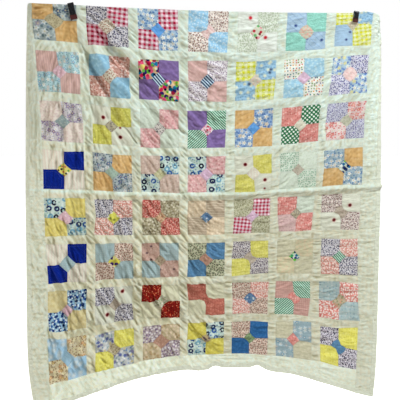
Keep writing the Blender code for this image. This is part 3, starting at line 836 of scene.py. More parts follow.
@print_layer
def stains(tree, flat, under, size, tint, share=0.5, shift=0.0, soft=0.15):
    """Irregular patches where the colour below, which has to be an output, is tinted."""
    field = cloud(tree, repeats(tree, flat, size, 0, shift), 1.0, 1.0)
    return mix(tree, below(tree, field, share, soft), under, multiplied(tree, under, tint))


@print_layer
def yellowed_and_shaded(tree, flat, under, colour):
    """Another colour where the cloth has yellowed; the yellowing also stands in for painted warm shade."""
    return mix(tree, attribute(tree, "yellowed_and_shaded"), under, colour)


def calico(size, dark, light, dark_share=0.34, light_share=0.26):
    """A dense small print."""
    return [
        spots(size, dark, radius=dark_share, soft=0.10),
        spots(size * 0.8, light, radius=light_share, shift=5.3, soft=0.10),
    ]


def berry():
    """One dark berry in its pale ring, every 110 mm."""
    return [
        spots(0.110, (232, 204, 188), radius=0.105, scatter=0.0, soft=0.04),
        spots(0.110, (120, 18, 22), radius=0.078, scatter=0.0, soft=0.02),
        spots(0.110, (60, 8, 20), radius=0.030, scatter=0.0, soft=0.02),
    ]


def berry_dot(shift):
    """The small second dot that goes with each berry: 44 mm above it at 2.0, and below it at 8.0."""
    return spots(0.110, (136, 24, 30), radius=0.050, scatter=0.0, shift=shift, soft=0.025)


# ---- Fabrics: a ground colour and the layers printed on it ------------------------------------------
FABRICS = {
    "ochre": [(222, 180, 118), spots(0.016, (230, 194, 140), (210, 164, 102), radius=0.34, soft=0.25)],
    "garden": [
        (160, 172, 170),
        spots(0.018, (98, 120, 124), (112, 130, 148), (184, 198, 194), radius=0.34, soft=0.1),
        flowers(
            0.034, (82, 98, 122), (208, 214, 212), (168, 158, 172), (196, 204, 200),
            centre=(206, 196, 160), radius=0.42,
        ),
    ],
    "sage_sprig": [(196, 184, 148), spots(0.011, (166, 154, 118), radius=0.26)],
    "ink_print": [(192, 188, 194), *calico(0.0088, (66, 62, 90), (240, 234, 232), 0.40, 0.30)],
    "red_gingham": [(246, 224, 230), checks(0.0212, (184, 24, 68))],
    # a darker copy of red_gingham: painted shade for the square that lies in a fold's shadow
    "deep_gingham": [(218, 174, 182), checks(0.0212, (146, 14, 46))],
    "fine_gingham": [(246, 224, 230), checks(0.0178, (184, 18, 64))],
    "cream_dots": [(214, 204, 184), spots(0.010, (170, 130, 110))],
    "sky_blossom": [
        (160, 186, 206),
        spots(0.014, (92, 132, 182), (112, 150, 198), radius=0.31),
        flowers(
            0.024, (240, 240, 234), (226, 228, 222), (206, 216, 222), centre=(226, 212, 170), radius=0.42,
        ),
    ],
    "bright_blue": [(96, 158, 222), spots(0.02, (112, 172, 230), soft=0.2)],
    "pale_sky": [(160, 206, 232), spots(0.011, (214, 232, 238), radius=0.26, soft=0.1)],
    "brown_dots": [(242, 226, 212), *calico(0.0088, (148, 106, 96), (248, 244, 236), 0.36, 0.28)],
    "peach_pink": [(246, 218, 211), spots(0.012, (232, 184, 178), radius=0.24, soft=0.12)],
    "red_sprig": [
        (234, 238, 226),
        spots(0.110, (240, 204, 200), radius=0.095, scatter=0.0, soft=0.04),
        spots(0.110, (204, 34, 50), radius=0.066, scatter=0.0, soft=0.02),
    ],
    "mint_grey": [(230, 236, 220), spots(0.0085, (190, 202, 170), radius=0.34, soft=0.1)],
    "holly": [
        (222, 220, 196),
        spots(
            0.0150, (196, 40, 60), (236, 158, 164), (112, 184, 112), (226, 222, 200), (132, 44, 50),
            (232, 184, 180), radius=0.44,
        ),
    ],
    "periwinkle": [
        (178, 204, 224),
        stripes(0.022, (154, 184, 214), 0.14, turn=45, soft=0.1),
        spots(0.060, (30, 60, 130), (240, 226, 110), (240, 244, 248), radius=0.11, scatter=0.7),
    ],
    "mint": [(162, 224, 206), spots(0.008, (146, 212, 192), soft=0.15)],
    "peach_dots": [(216, 208, 186), spots(0.011, (236, 176, 156), soft=0.1)],
    "yellow_check": [
        (240, 242, 196),
        checks(0.0205, (222, 222, 20)),
        spots(0.012, (236, 238, 170), radius=0.22),
    ],
    "lemon_check": [
        (236, 238, 190),
        checks(0.0250, (214, 216, 34)),
        spots(0.014, (236, 238, 170), radius=0.22),
    ],
    "sky_floral": [
        (164, 202, 224),
        spots(0.013, (134, 176, 208), soft=0.15),
        spots(0.030, (236, 238, 206), radius=0.22, shift=1.7, soft=0.12),
        spots(0.085, (30, 44, 90), radius=0.07, shift=3.3),
    ],
    "periwinkle_spot": [(170, 198, 220), spots(0.06, (40, 50, 110), radius=0.10, scatter=0.6)],
    "rose_beige": [(212, 204, 172), spots(0.010, (194, 172, 150))],
    "dusty_pink": [(218, 182, 170), stripes(0.010, (206, 166, 158), 0.4, soft=0.3)],
    "blue_floral": [
        (182, 210, 212),
        spots(0.012, (144, 182, 180), radius=0.26),
        flowers(0.022, (134, 172, 196), (228, 232, 226), (198, 198, 194), centre=(220, 212, 176)),
    ],
    "pink": [(226, 186, 194), spots(0.012, (240, 210, 214), radius=0.28)],
    "sky": [(146, 190, 212), spots(0.016, (166, 206, 222), soft=0.2)],
    "rose_floral": [
        (214, 166, 150),
        spots(0.015, (242, 216, 204), radius=0.34),
        spots(0.013, (196, 130, 114), radius=0.26, shift=3.3),
    ],
    "carnival": [
        (226, 190, 150),
        spots(
            0.019, (222, 26, 84), (48, 26, 100), (0, 112, 152), (100, 178, 50), (238, 218, 116),
            (234, 84, 124), (160, 24, 60), radius=0.54,
        ),
        spots(0.023, (244, 240, 216), (18, 18, 50), (106, 184, 66), (230, 40, 90), radius=0.27, shift=4.4),
    ],
    "violet": [(136, 110, 166), spots(0.016, (148, 122, 178), radius=0.34, soft=0.25)],
    "navy_stripe": [(212, 236, 248), stripes(0.0110, (4, 48, 98), 0.54, turn=45)],
    "salmon": [(224, 182, 174), spots(0.014, (232, 196, 186), soft=0.25)],
    "mauve_dots": [(231, 222, 224), *calico(0.0088, (128, 100, 128), (246, 242, 242), 0.30, 0.26)],
    "pale_beige": [(212, 204, 186), spots(0.012, (226, 190, 170), radius=0.24)],
    "confetti": [
        (246, 244, 232),
        spots(
            0.0128, (210, 104, 84), (62, 124, 130), (226, 168, 84), (124, 160, 90), (104, 96, 146),
            radius=0.27, scatter=0.5,
        ),
    ],
    "sky_stripe": [(164, 206, 224), spots(0.014, (202, 228, 234), soft=0.15)],
    "lilac_pink": [(226, 190, 212), spots(0.012, (238, 208, 224), radius=0.28)],
    "iris_sky": [
        (184, 208, 222),
        spots(0.016, (126, 156, 208), (104, 138, 200), radius=0.34),
        flowers(0.026, (242, 244, 240), (222, 232, 236), (232, 228, 170), centre=(240, 226, 170)),
    ],
    "navy_print": [(216, 212, 228), *calico(0.0088, (88, 84, 144), (246, 246, 250), 0.38, 0.26)],
    "pale_pink": [(234, 220, 206), spots(0.012, (224, 200, 190), radius=0.26, soft=0.15)],
    "purple_floral": [
        (204, 196, 196),
        spots(0.012, (150, 156, 150), radius=0.20),
        flowers(
            0.023, (138, 114, 152), (158, 138, 172), (230, 226, 228), centre=(214, 200, 160), radius=0.45,
        ),
    ],
    "grey_teal": [(148, 164, 162), spots(0.012, (176, 188, 182), radius=0.26)],
    "berry_sprig": [(226, 226, 206), *berry()],
    "berry_below": [(226, 226, 206), *berry(), berry_dot(2.0)],
    "berry_above": [(226, 226, 206), *berry(), berry_dot(8.0)],
    "lime": [(212, 206, 100), spots(0.012, (194, 188, 76), (226, 222, 124), soft=0.15)],
    "rose_grey": [(184, 174, 146), spots(0.011, (140, 130, 120), radius=0.28)],
    "white": [(222, 230, 212), spots(0.012, (212, 222, 200), radius=0.28, soft=0.2)],
    "salmon_rose": [
        (228, 178, 174),
        spots(0.013, (240, 206, 200), radius=0.28, soft=0.15),
        spots(0.020, (212, 146, 146), radius=0.24, shift=2.9, soft=0.15),
    ],
    "rose_black": [(210, 202, 190), *calico(0.0105, (84, 66, 78), (236, 226, 222), 0.28, 0.26)],
    "green_stripe": [(218, 238, 222), stripes(0.0088, (58, 142, 102), 0.57, turn=45)],
    "green_stripe_up": [(218, 238, 222), stripes(0.0088, (58, 142, 102), 0.57, turn=-45)],
    "red_floral": [
        (240, 206, 214),
        spots(0.015, (200, 40, 70), (230, 110, 140), radius=0.34),
        spots(0.017, (244, 236, 236), radius=0.24, shift=3.1),
    ],
    "blossom": [
        (148, 176, 208),
        spots(0.015, (94, 132, 188), radius=0.32),
        flowers(
            0.027, (236, 236, 226), (226, 214, 196), (200, 214, 228), centre=(236, 206, 150), radius=0.42,
        ),
    ],
    "coral": [(226, 150, 140), spots(0.012, (240, 196, 184), (210, 116, 108), radius=0.28, soft=0.10)],
    "green_dots": [(38, 116, 70), spots(0.0145, (236, 242, 230), radius=0.31, scatter=0.0, turn=45)],
    "pale_green": [(230, 224, 204), spots(0.012, (212, 206, 176), radius=0.26)],
    "lilac_print": [(190, 190, 206), *calico(0.0088, (116, 110, 156), (236, 234, 240), 0.34, 0.28)],
    "coral_floral": [
        (234, 208, 202),
        spots(0.013, (214, 110, 104), (222, 140, 132), radius=0.28),
        flowers(0.024, (240, 228, 220), (222, 120, 116), (226, 150, 140), centre=(236, 214, 180)),
    ],
    "sage": [(200, 198, 176), spots(0.012, (180, 180, 150), radius=0.26)],
    "cream_pink": [(236, 231, 212), stripes(0.014, (232, 217, 199), 0.4, soft=0.4)],
    "royal_blue": [(0, 32, 134), spots(0.010, (0, 40, 142), soft=0.2)],
    "leafy": [
        (228, 214, 116),
        spots(
            0.015, (40, 40, 50), (90, 160, 80), (244, 240, 220), (232, 220, 100), (200, 120, 80),
            radius=0.32,
        ),
    ],
    "misty_floral": [
        (182, 190, 188),
        spots(0.014, (112, 128, 134)),
        flowers(0.024, (88, 108, 150), (228, 228, 226), (150, 160, 170), centre=(206, 190, 156)),
    ],
    "aqua": [(168, 188, 170), spots(0.012, (150, 170, 156), radius=0.26)],
    "pink_beige": [(214, 190, 174), spots(0.013, (202, 172, 156), (224, 204, 190), soft=0.12)],
    "rings": [
        (204, 220, 210),
        spots(
            0.012, (136, 176, 192), (160, 192, 176), (218, 230, 220), (204, 220, 210), radius=0.32,
            soft=0.10,
        ),
        rings(0.037, (16, 16, 46), (44, 90, 156), (20, 30, 80), (120, 170, 190), line=0.11, radius=0.24),
        spots(0.019, (24, 30, 70), (204, 220, 210), (80, 130, 180), (226, 234, 226), radius=0.17, shift=8.2),
    ],
    "pale_lime": [(210, 206, 164), spots(0.012, (196, 192, 140), radius=0.26)],
    "yellow": [(222, 214, 110), spots(0.012, (232, 226, 140), (206, 198, 92), soft=0.15)],
    "leaf_dots": [(216, 226, 208), spots(0.0105, (140, 178, 146), radius=0.28, scatter=0.6)],
    "beige_pink": [(202, 192, 172), spots(0.012, (186, 170, 152), radius=0.26)],
    "misty_blue": [
        (168, 188, 196),
        spots(0.014, (108, 142, 178), (118, 156, 188)),
        flowers(0.025, (236, 236, 228), (216, 222, 224), centre=(226, 200, 150)),
    ],
    "splash": [
        (206, 216, 200),
        spots(
            0.0135, (16, 30, 84), (56, 160, 90), (110, 200, 60), (40, 60, 110), (236, 240, 236),
            (30, 110, 160), radius=0.56,
        ),
    ],
    "golden": [(232, 214, 120), spots(0.018, (240, 224, 142), soft=0.2)],
    "coral_print": [(225, 165, 150), *calico(0.0110, (206, 122, 110), (244, 226, 214), 0.26, 0.35)],
    "lemon_cream": [(226, 222, 100), spots(0.022, (246, 244, 214), (150, 156, 60), soft=0.1)],
    "red_print": [(210, 120, 106), *calico(0.0115, (180, 72, 66), (236, 186, 170), 0.34, 0.28)],
    "olive_print": [
        (190, 180, 148),
        spots(0.013, (142, 130, 100), radius=0.32, soft=0.12),
        spots(0.016, (222, 214, 190), radius=0.28, shift=2.9, soft=0.10),
    ],
    "apricot_print": [(212, 172, 134), *calico(0.012, (180, 120, 90), (232, 206, 170))],
    "tan_peach": [(232, 210, 178), spots(0.014, (242, 224, 196), (220, 196, 164), soft=0.15)],
    "tan_stripe": [(212, 196, 170), stripes(0.0085, (170, 144, 122), 0.34, turn=90, soft=0.14)],
    "navy_blossom": [
        (104, 136, 166),
        spots(0.014, (80, 110, 152)),
        spots(0.022, (212, 218, 220), radius=0.20, shift=3.7),
    ],
    "sage_print": [(190, 186, 154), *calico(0.011, (150, 148, 112), (214, 212, 184))],
    "pale_rose": [(222, 190, 184), spots(0.012, (210, 170, 168), soft=0.15)],
    "brown_print": [(216, 200, 188), *calico(0.0088, (124, 86, 84), (240, 230, 222), 0.36, 0.28)],
    "taupe": [(192, 176, 158), spots(0.012, (174, 160, 140), radius=0.28)],
    "blue_grey": [(178, 196, 194), checks(0.010, (164, 186, 188))],
    "brown_calico": [(222, 206, 188), *calico(0.0088, (136, 98, 82), (212, 158, 140), 0.34, 0.22)],
    "pansy": [
        (222, 212, 90),
        spots(
            0.0215, (60, 26, 104), (230, 218, 64), (206, 196, 74), (238, 230, 156), (222, 212, 90),
            radius=0.46, shift=1.3,
        ),
    ],
    "dusty_dots": [
        (200, 164, 148),
        spots(0.012, (186, 146, 132), (212, 182, 166), radius=0.28, soft=0.12),
        spots(0.060, (70, 40, 60), radius=0.08),
    ],
    "tan_brown": [(186, 168, 142), spots(0.014, (160, 138, 114), soft=0.1)],
    "green_calico": [(200, 196, 166), *calico(0.0100, (84, 82, 66), (150, 166, 124), 0.33, 0.24)],
    "mid_blue": [(88, 132, 168), spots(0.013, (104, 148, 182), soft=0.2)],
    "terracotta": [(190, 146, 124), spots(0.012, (206, 166, 144), radius=0.28, soft=0.15)],
    "grey_calico": [(182, 172, 170), *calico(0.0088, (84, 72, 88), (236, 230, 226), 0.38, 0.28)],
    "beige": [(208, 202, 170), spots(0.016, (218, 212, 184), soft=0.2)],
    "beige_peach": [(214, 206, 170), spots(0.016, (222, 202, 168), soft=0.2)],
    "straw": [(228, 214, 162), spots(0.018, (220, 202, 144), soft=0.2)],
    "blue_leaves": [
        (150, 186, 208),
        spots(0.014, (16, 44, 104), (36, 84, 156), (22, 50, 110), radius=0.42),
        spots(0.016, (220, 232, 236), radius=0.24, shift=4.4),
    ],
    "dark_red": [(144, 24, 15), spots(0.0096, (222, 112, 70), (84, 8, 8), (230, 150, 110), radius=0.24)],
    "cream": [(224, 220, 190), spots(0.014, (218, 216, 182), soft=0.2)],
    "green_floral": [
        (198, 190, 162),
        spots(0.014, (150, 166, 130)),
        spots(0.016, (226, 220, 204), radius=0.24, shift=2.4),
    ],
    "coral_solid": [(190, 112, 94), spots(0.012, (206, 136, 116), (174, 92, 78), soft=0.12)],
    "rose_solid": [(212, 172, 158), checks(0.010, (202, 152, 142))],
    "steel_blue": [(176, 194, 192), spots(0.015, (198, 204, 200), (150, 174, 180), radius=0.28, soft=0.12)],
    "red_strokes": [(230, 150, 138), *calico(0.013, (208, 104, 96), (246, 230, 220), 0.24, 0.36)],
    "green_tan": [(196, 178, 150), spots(0.013, (150, 150, 110), (220, 160, 130), radius=0.34)],
    "bleached_blue": [(170, 208, 232), spots(0.030, (216, 228, 230), radius=0.34, soft=0.2, scatter=0.9)],
    "gold_floral": [
        (226, 210, 172),
        spots(0.013, (166, 138, 100), radius=0.26),
        flowers(
            0.021, (214, 158, 116), (244, 234, 196), (240, 232, 208), (204, 166, 104),
            centre=(244, 228, 160),
        ),
    ],
    "navy_spot": [(170, 206, 226), spots(0.045, (14, 18, 46), radius=0.13, scatter=0.2)],
    "iris_floral": [
        (200, 204, 204),
        spots(0.016, (120, 148, 186), (146, 168, 164), soft=0.1),
        spots(
            0.022, (96, 106, 160), (134, 132, 168), (232, 232, 230), (204, 204, 200), radius=0.34,
            shift=5.1, soft=0.1,
        ),
        spots(0.027, (238, 236, 228), (226, 206, 140), radius=0.18, shift=2.2, soft=0.1),
    ],
    "lemon": [(236, 228, 112), spots(0.012, (224, 214, 88), (242, 236, 138), soft=0.15)],
    "tan_print": [(196, 182, 146), *calico(0.010, (150, 128, 96), (216, 206, 176))],
    "heather": [
        (190, 174, 172),
        spots(0.013, (124, 100, 130), (146, 122, 148), radius=0.32, soft=0.1),
        spots(0.016, (234, 226, 226), shift=3.3, soft=0.08),
    ],
    "beige_gold": [(208, 190, 154), spots(0.018, (190, 162, 120), (226, 206, 176), radius=0.36, soft=0.1)],
    "golden_lemon": [(214, 200, 88), spots(0.016, (224, 214, 112), soft=0.2)],
    "pansy_tan": [(190, 170, 126), spots(0.018, (120, 98, 102), (206, 190, 140), radius=0.36)],
    "cobalt": [(44, 98, 152), spots(0.014, (56, 112, 166), soft=0.2)],
    "green_print": [(142, 162, 118), spots(0.012, (110, 140, 96), radius=0.34)],
    "steel_floral": [
        (158, 180, 186),
        flowers(0.026, (200, 212, 214), (176, 184, 190), (130, 160, 176), centre=(216, 212, 186)),
    ],
    "ink_lilac": [(196, 186, 196), *calico(0.0098, (52, 44, 70), (240, 236, 240), 0.38, 0.30)],
}


# ---- Materials --------------------------------------------------------------------------------------
FLAT_UV = "FlatCloth"  # the cloth's flat coordinates, in metres


def new_material(name, roughness):
    mat = bpy.data.materials.new(name)
    mat.use_nodes = True
    shader = mat.node_tree.nodes["Principled BSDF"]
    shader.inputs["Roughness"].default_value = roughness
    return mat, mat.node_tree, shader


PRINT_VALLEY_SHADE = (0.76, 0.75, 0.72)  # painted shade: how the valleys of puckers are darkened and tinted
# the same painted shade of the valleys, warmer, on plain muslin
PLAIN_VALLEY_SHADE = (0.77, 0.75, 0.65)
CLOTH_ROUGHNESS = 0.9
THREAD = 0.0007  # from one thread of the weave to the next
LONG_THREAD = 0.12  # a thread changes this many times as often along it as across it
STITCH_COLOUR = (240, 238, 224)
FINE_CREASES = 40.0  # height of the creases finer than the mesh, in heights of the weave
STITCH = 0.0042  # from one stitch to the next, roughly


def around_one(tree, value, amount):
    """A value from 0 to 1 as a factor around 1."""
    return maths(tree, "ADD", maths(tree, "MULTIPLY", value, amount), 1 - amount / 2)


def stitching(tree, flat):
    """1 on the stitches of the hand quilting, which run where "quilting" is a whole number."""
    line = below(tree, maths(tree, "PINGPONG", attribute(tree, "quilting"), 0.5), 0.026, 0.010)
    parts = node(tree, "SeparateXYZ", {0: flat})
    steps = [maths(tree, "MULTIPLY", parts.outputs[k], rate / STITCH) for k, rate in ((0, 0.75), (1, 1.35))]
    dash = below(tree, maths(tree, "PINGPONG", maths(tree, "ADD", *steps), 0.5), 0.30, 0.04)
    return maths(tree, "MULTIPLY", line, dash)


def fine_wrinkles(tree, flat):
    """Creases finer than the mesh: slanting down to the right on the quilt's left, level on its right."""
    left = attribute(tree, "left")
    right = maths(tree, "SUBTRACT", 1.0, left)
    parts = []
    for degrees, share in ((49, left), (-4, right)):
        inputs = {"Vector": flat, "Rotation": (0, 0, math.radians(degrees)), "Scale": (0.045, 0.0068, 1)}
        place = node(tree, "Mapping", inputs, vector_type="TEXTURE").outputs[0]
        ridge = maths(tree, "ABSOLUTE", maths(tree, "SUBTRACT", cloud(tree, place, 1.0, 1.0), 0.5))
        parts.append(maths(tree, "MULTIPLY", ridge, share))
    return maths(tree, "ADD", *parts)


def cloth_material(name, ground, layers, seam=0.10, valley_shade=PRINT_VALLEY_SHADE, even=False):
    """Printed cotton: its print, worn and mottled, with its weave, stitches and fine creases.

    seam says how much it darkens along seams, partly soiling and partly painted shade; the tint after it
    colours the painted shade between puckers; and even cotton is equally rough all over."""
    mat, tree, shader = new_material(name, CLOTH_ROUGHNESS)
    flat = node(tree, "UVMap", {}, uv_map=FLAT_UV).outputs[0]
    colour = node(tree, "RGB", {}).outputs[0]
    colour.default_value = linear(ground)
    for paint in layers:
        colour = paint(tree, flat, colour)

    fade = cloud(tree, flat, 26.0, 3.0)
    weave = []
    for scale in ((1 / THREAD, LONG_THREAD / THREAD, 1), (LONG_THREAD / THREAD, 1 / THREAD, 1)):
        place = node(tree, "Mapping", {"Vector": flat, "Scale": scale}).outputs[0]
        weave.append(cloud(tree, place, 1.0, 0.0))
    weave = maths(tree, "ADD", *weave)
    shade = maths(tree, "MULTIPLY", around_one(tree, fade, 0.10), around_one(tree, weave, 0.10))
    shade = maths(tree, "MULTIPLY", shade, maths(tree, "ADD", attribute(tree, "tone"), 1.0))
    # darker along seams: partly soiling, partly painted shade where the cloth dips into them
    darker = maths(tree, "MULTIPLY_ADD", attribute(tree, "seam"), -seam, 1.0)
    shade = maths(tree, "MULTIPLY", shade, darker)
    shaded = node(tree, "VectorMath", {0: colour, "Scale": shade}, operation="SCALE").outputs[0]
    # painted shade: the cloth is darkened and tinted in the valleys between puckers
    cloth = mix(tree, attribute(tree, "valley_shade"), shaded, multiplied(tree, shaded, valley_shade))
    stitch = stitching(tree, flat)
    sewn = mix(tree, maths(tree, "MULTIPLY", stitch, 0.20), cloth, STITCH_COLOUR)
    rough = CLOTH_ROUGHNESS
    if not even:
        rough = maths(tree, "MULTIPLY_ADD", weave, 0.10, CLOTH_ROUGHNESS - 0.10)

    raised = maths(tree, "MULTIPLY_ADD", stitch, 4.0, weave)
    raised = maths(tree, "MULTIPLY_ADD", fine_wrinkles(tree, flat), FINE_CREASES, raised)
    height = maths(tree, "MULTIPLY_ADD", cloud(tree, flat, 150.0, 2.0), 4.0, raised)
    bump = node(tree, "Bump", {"Height": height, "Strength": 0.5, "Distance": 0.00025})
    looks = {"Base Color": sewn, "Roughness": rough, "Normal": bump.outputs[0], "Specular IOR Level": 0.12}
    fill(tree, shader, {**looks, "Sheen Weight": 0.06, "Sheen Roughness": 0.5})
    return mat


MUSLIN = (226, 240, 229)
# the yellowed muslin colour, which is partly a painted warm shade
YELLOWED_SHADED_MUSLIN = (226, 227, 206)
fabric_materials = {
    name: cloth_material(name, ground, layers) for name, (ground, *layers) in FABRICS.items()
}
muslin_layers = [
    # yellowing, partly painted warm shade, with a painted highlight along the storage fold
    yellowed_and_shaded(YELLOWED_SHADED_MUSLIN),
    stains(0.030, (0.97, 0.94, 0.89)),
    stains(0.014, (1.02, 0.96, 0.90), share=0.46, shift=4.0, soft=0.1),
]
muslin = cloth_material("muslin", MUSLIN, muslin_layers, seam=0.04, valley_shade=PLAIN_VALLEY_SHADE)
border_muslin = cloth_material(
    "border_muslin", MUSLIN, muslin_layers, seam=0.04, valley_shade=PLAIN_VALLEY_SHADE, even=True
)
backing_cotton = cloth_material(
    "backing_cotton",
    (228, 224, 202),
    [stains(0.16, (0.95, 0.93, 0.88), share=0.45, soft=0.12), stains(0.03, (1.03, 1.02, 1.04), share=0.45)],
)
edging_cotton = cloth_material(
    "edging_cotton", (226, 228, 208), [stains(0.016, (0.95, 0.95, 0.92))], even=True
)


# ---- Meshes -----------------------------------------------------------------------------------------
RIM = len(RIM_ANGLES)


def add_rim(grid, rim=None):
    """A grid with rows for the rolled top edge before its first row, which they repeat if none are given."""
    if rim is None:
        rim = np.repeat(grid[:1], RIM, axis=0)
    return np.concatenate([rim, grid])


def top_rim(side):
    """The rows that roll over the top edge from the front (side 1) or the back (side -1)."""
    up = middle_grid[0] - middle_grid[1]
    up /= np.linalg.norm(up, axis=-1, keepdims=True)
    base = middle_grid[0] + pucker_grid[0][..., None] * normal_grid[0]
    half = half_grid[0][..., None]
    rows = []
    for angle in np.radians(RIM_ANGLES):
        rows.append(base + half * (side * math.cos(angle) * normal_grid[0] + math.sin(angle) * up))
    return np.array(rows)


def yellowing_and_shade_values():
    """Where the muslin has yellowed, which is partly painted warm shade: low down and on the left, but not
    in a thin band just above the storage fold, which is a painted highlight on the fold's crest.
    """
    yellowing_and_shade = ramp(down_grid, 0.40, 1.05) + 0.5 * (1 - ramp(across_grid, -0.75, -0.10))
    # the band left clear above the storage fold is a painted highlight on its crest
    return np.clip(yellowing_and_shade, 0, 1) * (1 - bell(down_grid - STORAGE_FOLD + 0.012, 0.007))


def corner_shade_values():
    """Painted shade at the top left corner, beside the left clip, as a change of tone."""
    return -0.14 * bell(across_grid + 0.76, 0.10) * bell(down_grid, 0.075)


def muslin_tone():
    """The muslin is lighter low on the left and darker low on the right."""
    to_left = leftness(across_grid)
    lighter = 0.09 * to_left * ramp(down_grid, 0.45, 0.80)
    return lighter - 0.05 * (1 - to_left) * ramp(down_grid, 0.60, 0.90)


def quilting_values():
    """A value that is a whole number on each line of quilting, and 0.5 far from any."""
    quilting = np.clip(seam_grid / QUILTING_INSET, 0.5, 1.5)
    for edge in edge_distance(across_grid, down_grid):
        quilting = np.where(edge < BORDER - 0.008, np.clip(edge / CHANNEL, 0.5, 4.5), quilting)
    return quilting


front_points = add_rim(front_grid, top_rim(1))
back_points = add_rim(back_grid, top_rim(-1))
rim_down = -np.radians(RIM_ANGLES)[:, None] * half_grid[0]
flat_points = np.stack([add_rim(across_grid), add_rim(down_grid, rim_down)], axis=-1)
# painted shade beside the left clip, as a change of tone
corner_shade_points = add_rim(corner_shade_values())
POINT_VALUES = {  # what the materials read at each point of the quilt's mesh
    # the darkening along seams, partly soiling and partly painted shade
    "seam": add_rim(bell(seam_grid, 0.0035)),
    # where the painted shade of the valleys falls
    "valley_shade": add_rim(np.clip(-pucker_grid / 0.005, 0, 1)),
    "quilting": add_rim(quilting_values(), np.full((RIM, seam_grid.shape[1]), 0.5)),
    "left": leftness(flat_points[..., 0]),
    # yellowing, partly painted warm shade, and the painted highlight on the storage fold
    "yellowed_and_shaded": add_rim(yellowing_and_shade_values()),
    "tone": add_rim(muslin_tone()) + corner_shade_points,
}


def line_index(cells, strip):
    """The mesh line where a strip begins."""
    return int(sum(cells[:strip]))


def two_triangles(rows, columns, first):
    """The triangles of a grid of points that starts at vertex number first."""
    i, j = np.mgrid[0 : rows - 1, 0 : columns - 1]
    a = first + i * columns + j
    corners = np.stack([a, a + columns, a + 1, a + 1, a + columns, a + columns + 1], axis=-1)
    return corners.reshape(-1, 3)


KNOT = 4  # the number of a block's knot among its patches


def block_triangles(rows, columns):
    """A block's triangles, their diagonals along its knot's sides, with each one's patch.

    The squares are numbered from 0 at the top left in reading order, and the knot comes last."""
    i, j = np.mgrid[0 : rows - 1, 0 : columns - 1]
    a = i * columns + j
    b, d, e = a + 1, a + columns, a + columns + 1
    v0 = i - (rows - 1 - HALF_CELLS)
    u0 = j - HALF_CELLS
    rising = (u0 < 0) == (v0 < 0)
    first = np.where(rising[..., None], np.stack([a, d, b], -1), np.stack([a, d, e], -1))
    second = np.where(rising[..., None], np.stack([b, d, e], -1), np.stack([a, e, b], -1))
    near, far = 1 / 3, 2 / 3  # the triangles' middles, as shares of their cell
    patches = []
    for u, v in (
        (u0 + near, v0 + np.where(rising, near, far)),
        (u0 + far, v0 + np.where(rising, far, near)),
    ):
        patch = (u > 0).astype(int) + 2 * (v > 0)
        patches.append(np.where(np.abs(u) + np.abs(v) < KNOT_CELLS, KNOT, patch))
    return np.stack([first, second], 2).reshape(-1, 3), np.stack(patches, -1).ravel()


def add_object(name, data):
    made = bpy.data.objects.new(name, data)
    bpy.context.scene.collection.objects.link(made)
    return made


def add_values(mesh, name, values, domain="POINT"):
    layer = mesh.attributes.new(name, "FLOAT", domain)
    layer.data.foreach_set("value", values.astype(np.float32).ravel())


def build_sheet(name, points, triangles, materials, bake, flat, values, material_number=None):
    """A sheet of cloth. bake and flat are its texture places and flat places at each triangle's corners,
    and values what its materials read at its points."""
    mesh = bpy.data.meshes.new(name)
    mesh.from_pydata(points.reshape(-1, 3).tolist(), [], triangles.tolist())
    for material in materials:
        mesh.materials.append(material)
    if material_number is not None:
        mesh.polygons.foreach_set("material_index", material_number.astype(np.int32))
    mesh.shade_smooth()
    for key, places in (("OFBake", bake), (FLAT_UV, flat)):
        layer = mesh.uv_layers.new(name=key)
        layer.uv.foreach_set("vector", places.astype(np.float32).ravel())
    for key, value in values.items():
        add_values(mesh, key, value)
    return add_object(name, mesh)


def turned(flat, degrees, shift):
    """Flat places, each turned by its own angle and shifted."""
    angle = np.radians(degrees)
    x, y = flat[..., 0], flat[..., 1]
    across = x * np.cos(angle) - y * np.sin(angle)
    down = x * np.sin(angle) + y * np.cos(angle)
    return np.stack([across, down], axis=-1) + shift


TILE_MARGIN = 0.01
SEED_SHIFT = 0.371  # how far each seed moves the stains


def within_tile(share):
    """A place in a tile of the texture, from 0 to 1, kept off the tile's edges."""
    return TILE_MARGIN + (1 - 2 * TILE_MARGIN) * share


def tile(rows, columns, number=0, tiles_across=1, tiles_down=1):
    """Texture places of one grid among several packed side by side."""
    v, u = np.meshgrid(np.linspace(1, 0, rows), np.linspace(0, 1, columns), indexing="ij")
    u = (number % tiles_across + within_tile(u)) / tiles_across
    v = (number // tiles_across + within_tile(v)) / tiles_down
    return np.stack([u, v], -1).reshape(-1, 2)


def declare(piece):
    """Attaches a sheet of the quilt to the root body."""
    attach(piece, "root")


def areas_sheet(name, areas, tiles, material, seed=0, tone=0.0, yellowing_and_shade=1.0):
    """A piece made of windows (top, bottom, left, right) of the quilt's grid, packed on its texture.

    seed moves its stains, tone makes it lighter, and the last is its share of the yellowing, which is partly
    painted warm shade."""
    windows = [np.s_[top : bottom + 1, left : right + 1] for top, bottom, left, right in areas]
    points = np.concatenate([front_points[window].reshape(-1, 3) for window in windows])
    flat = np.concatenate([flat_points[window].reshape(-1, 2) for window in windows])
    values = {}
    for key, grid in POINT_VALUES.items():
        values[key] = np.concatenate([grid[window].ravel() for window in windows])
    values["yellowed_and_shaded"] *= yellowing_and_shade
    values["tone"] += tone
    bake, triangles, count = [], [], 0
    for number, window in enumerate(windows):
        rows, columns = corner_shade_points[window].shape
        bake.append(tile(rows, columns, number, *tiles))
        triangles.append(two_triangles(rows, columns, count))
        count += rows * columns
    bake, triangles = np.concatenate(bake), np.concatenate(triangles)
    loops = triangles.ravel()
    flat = flat[loops] + seed * SEED_SHIFT
    return build_sheet(name, points, triangles, [material], bake[loops], flat, values)


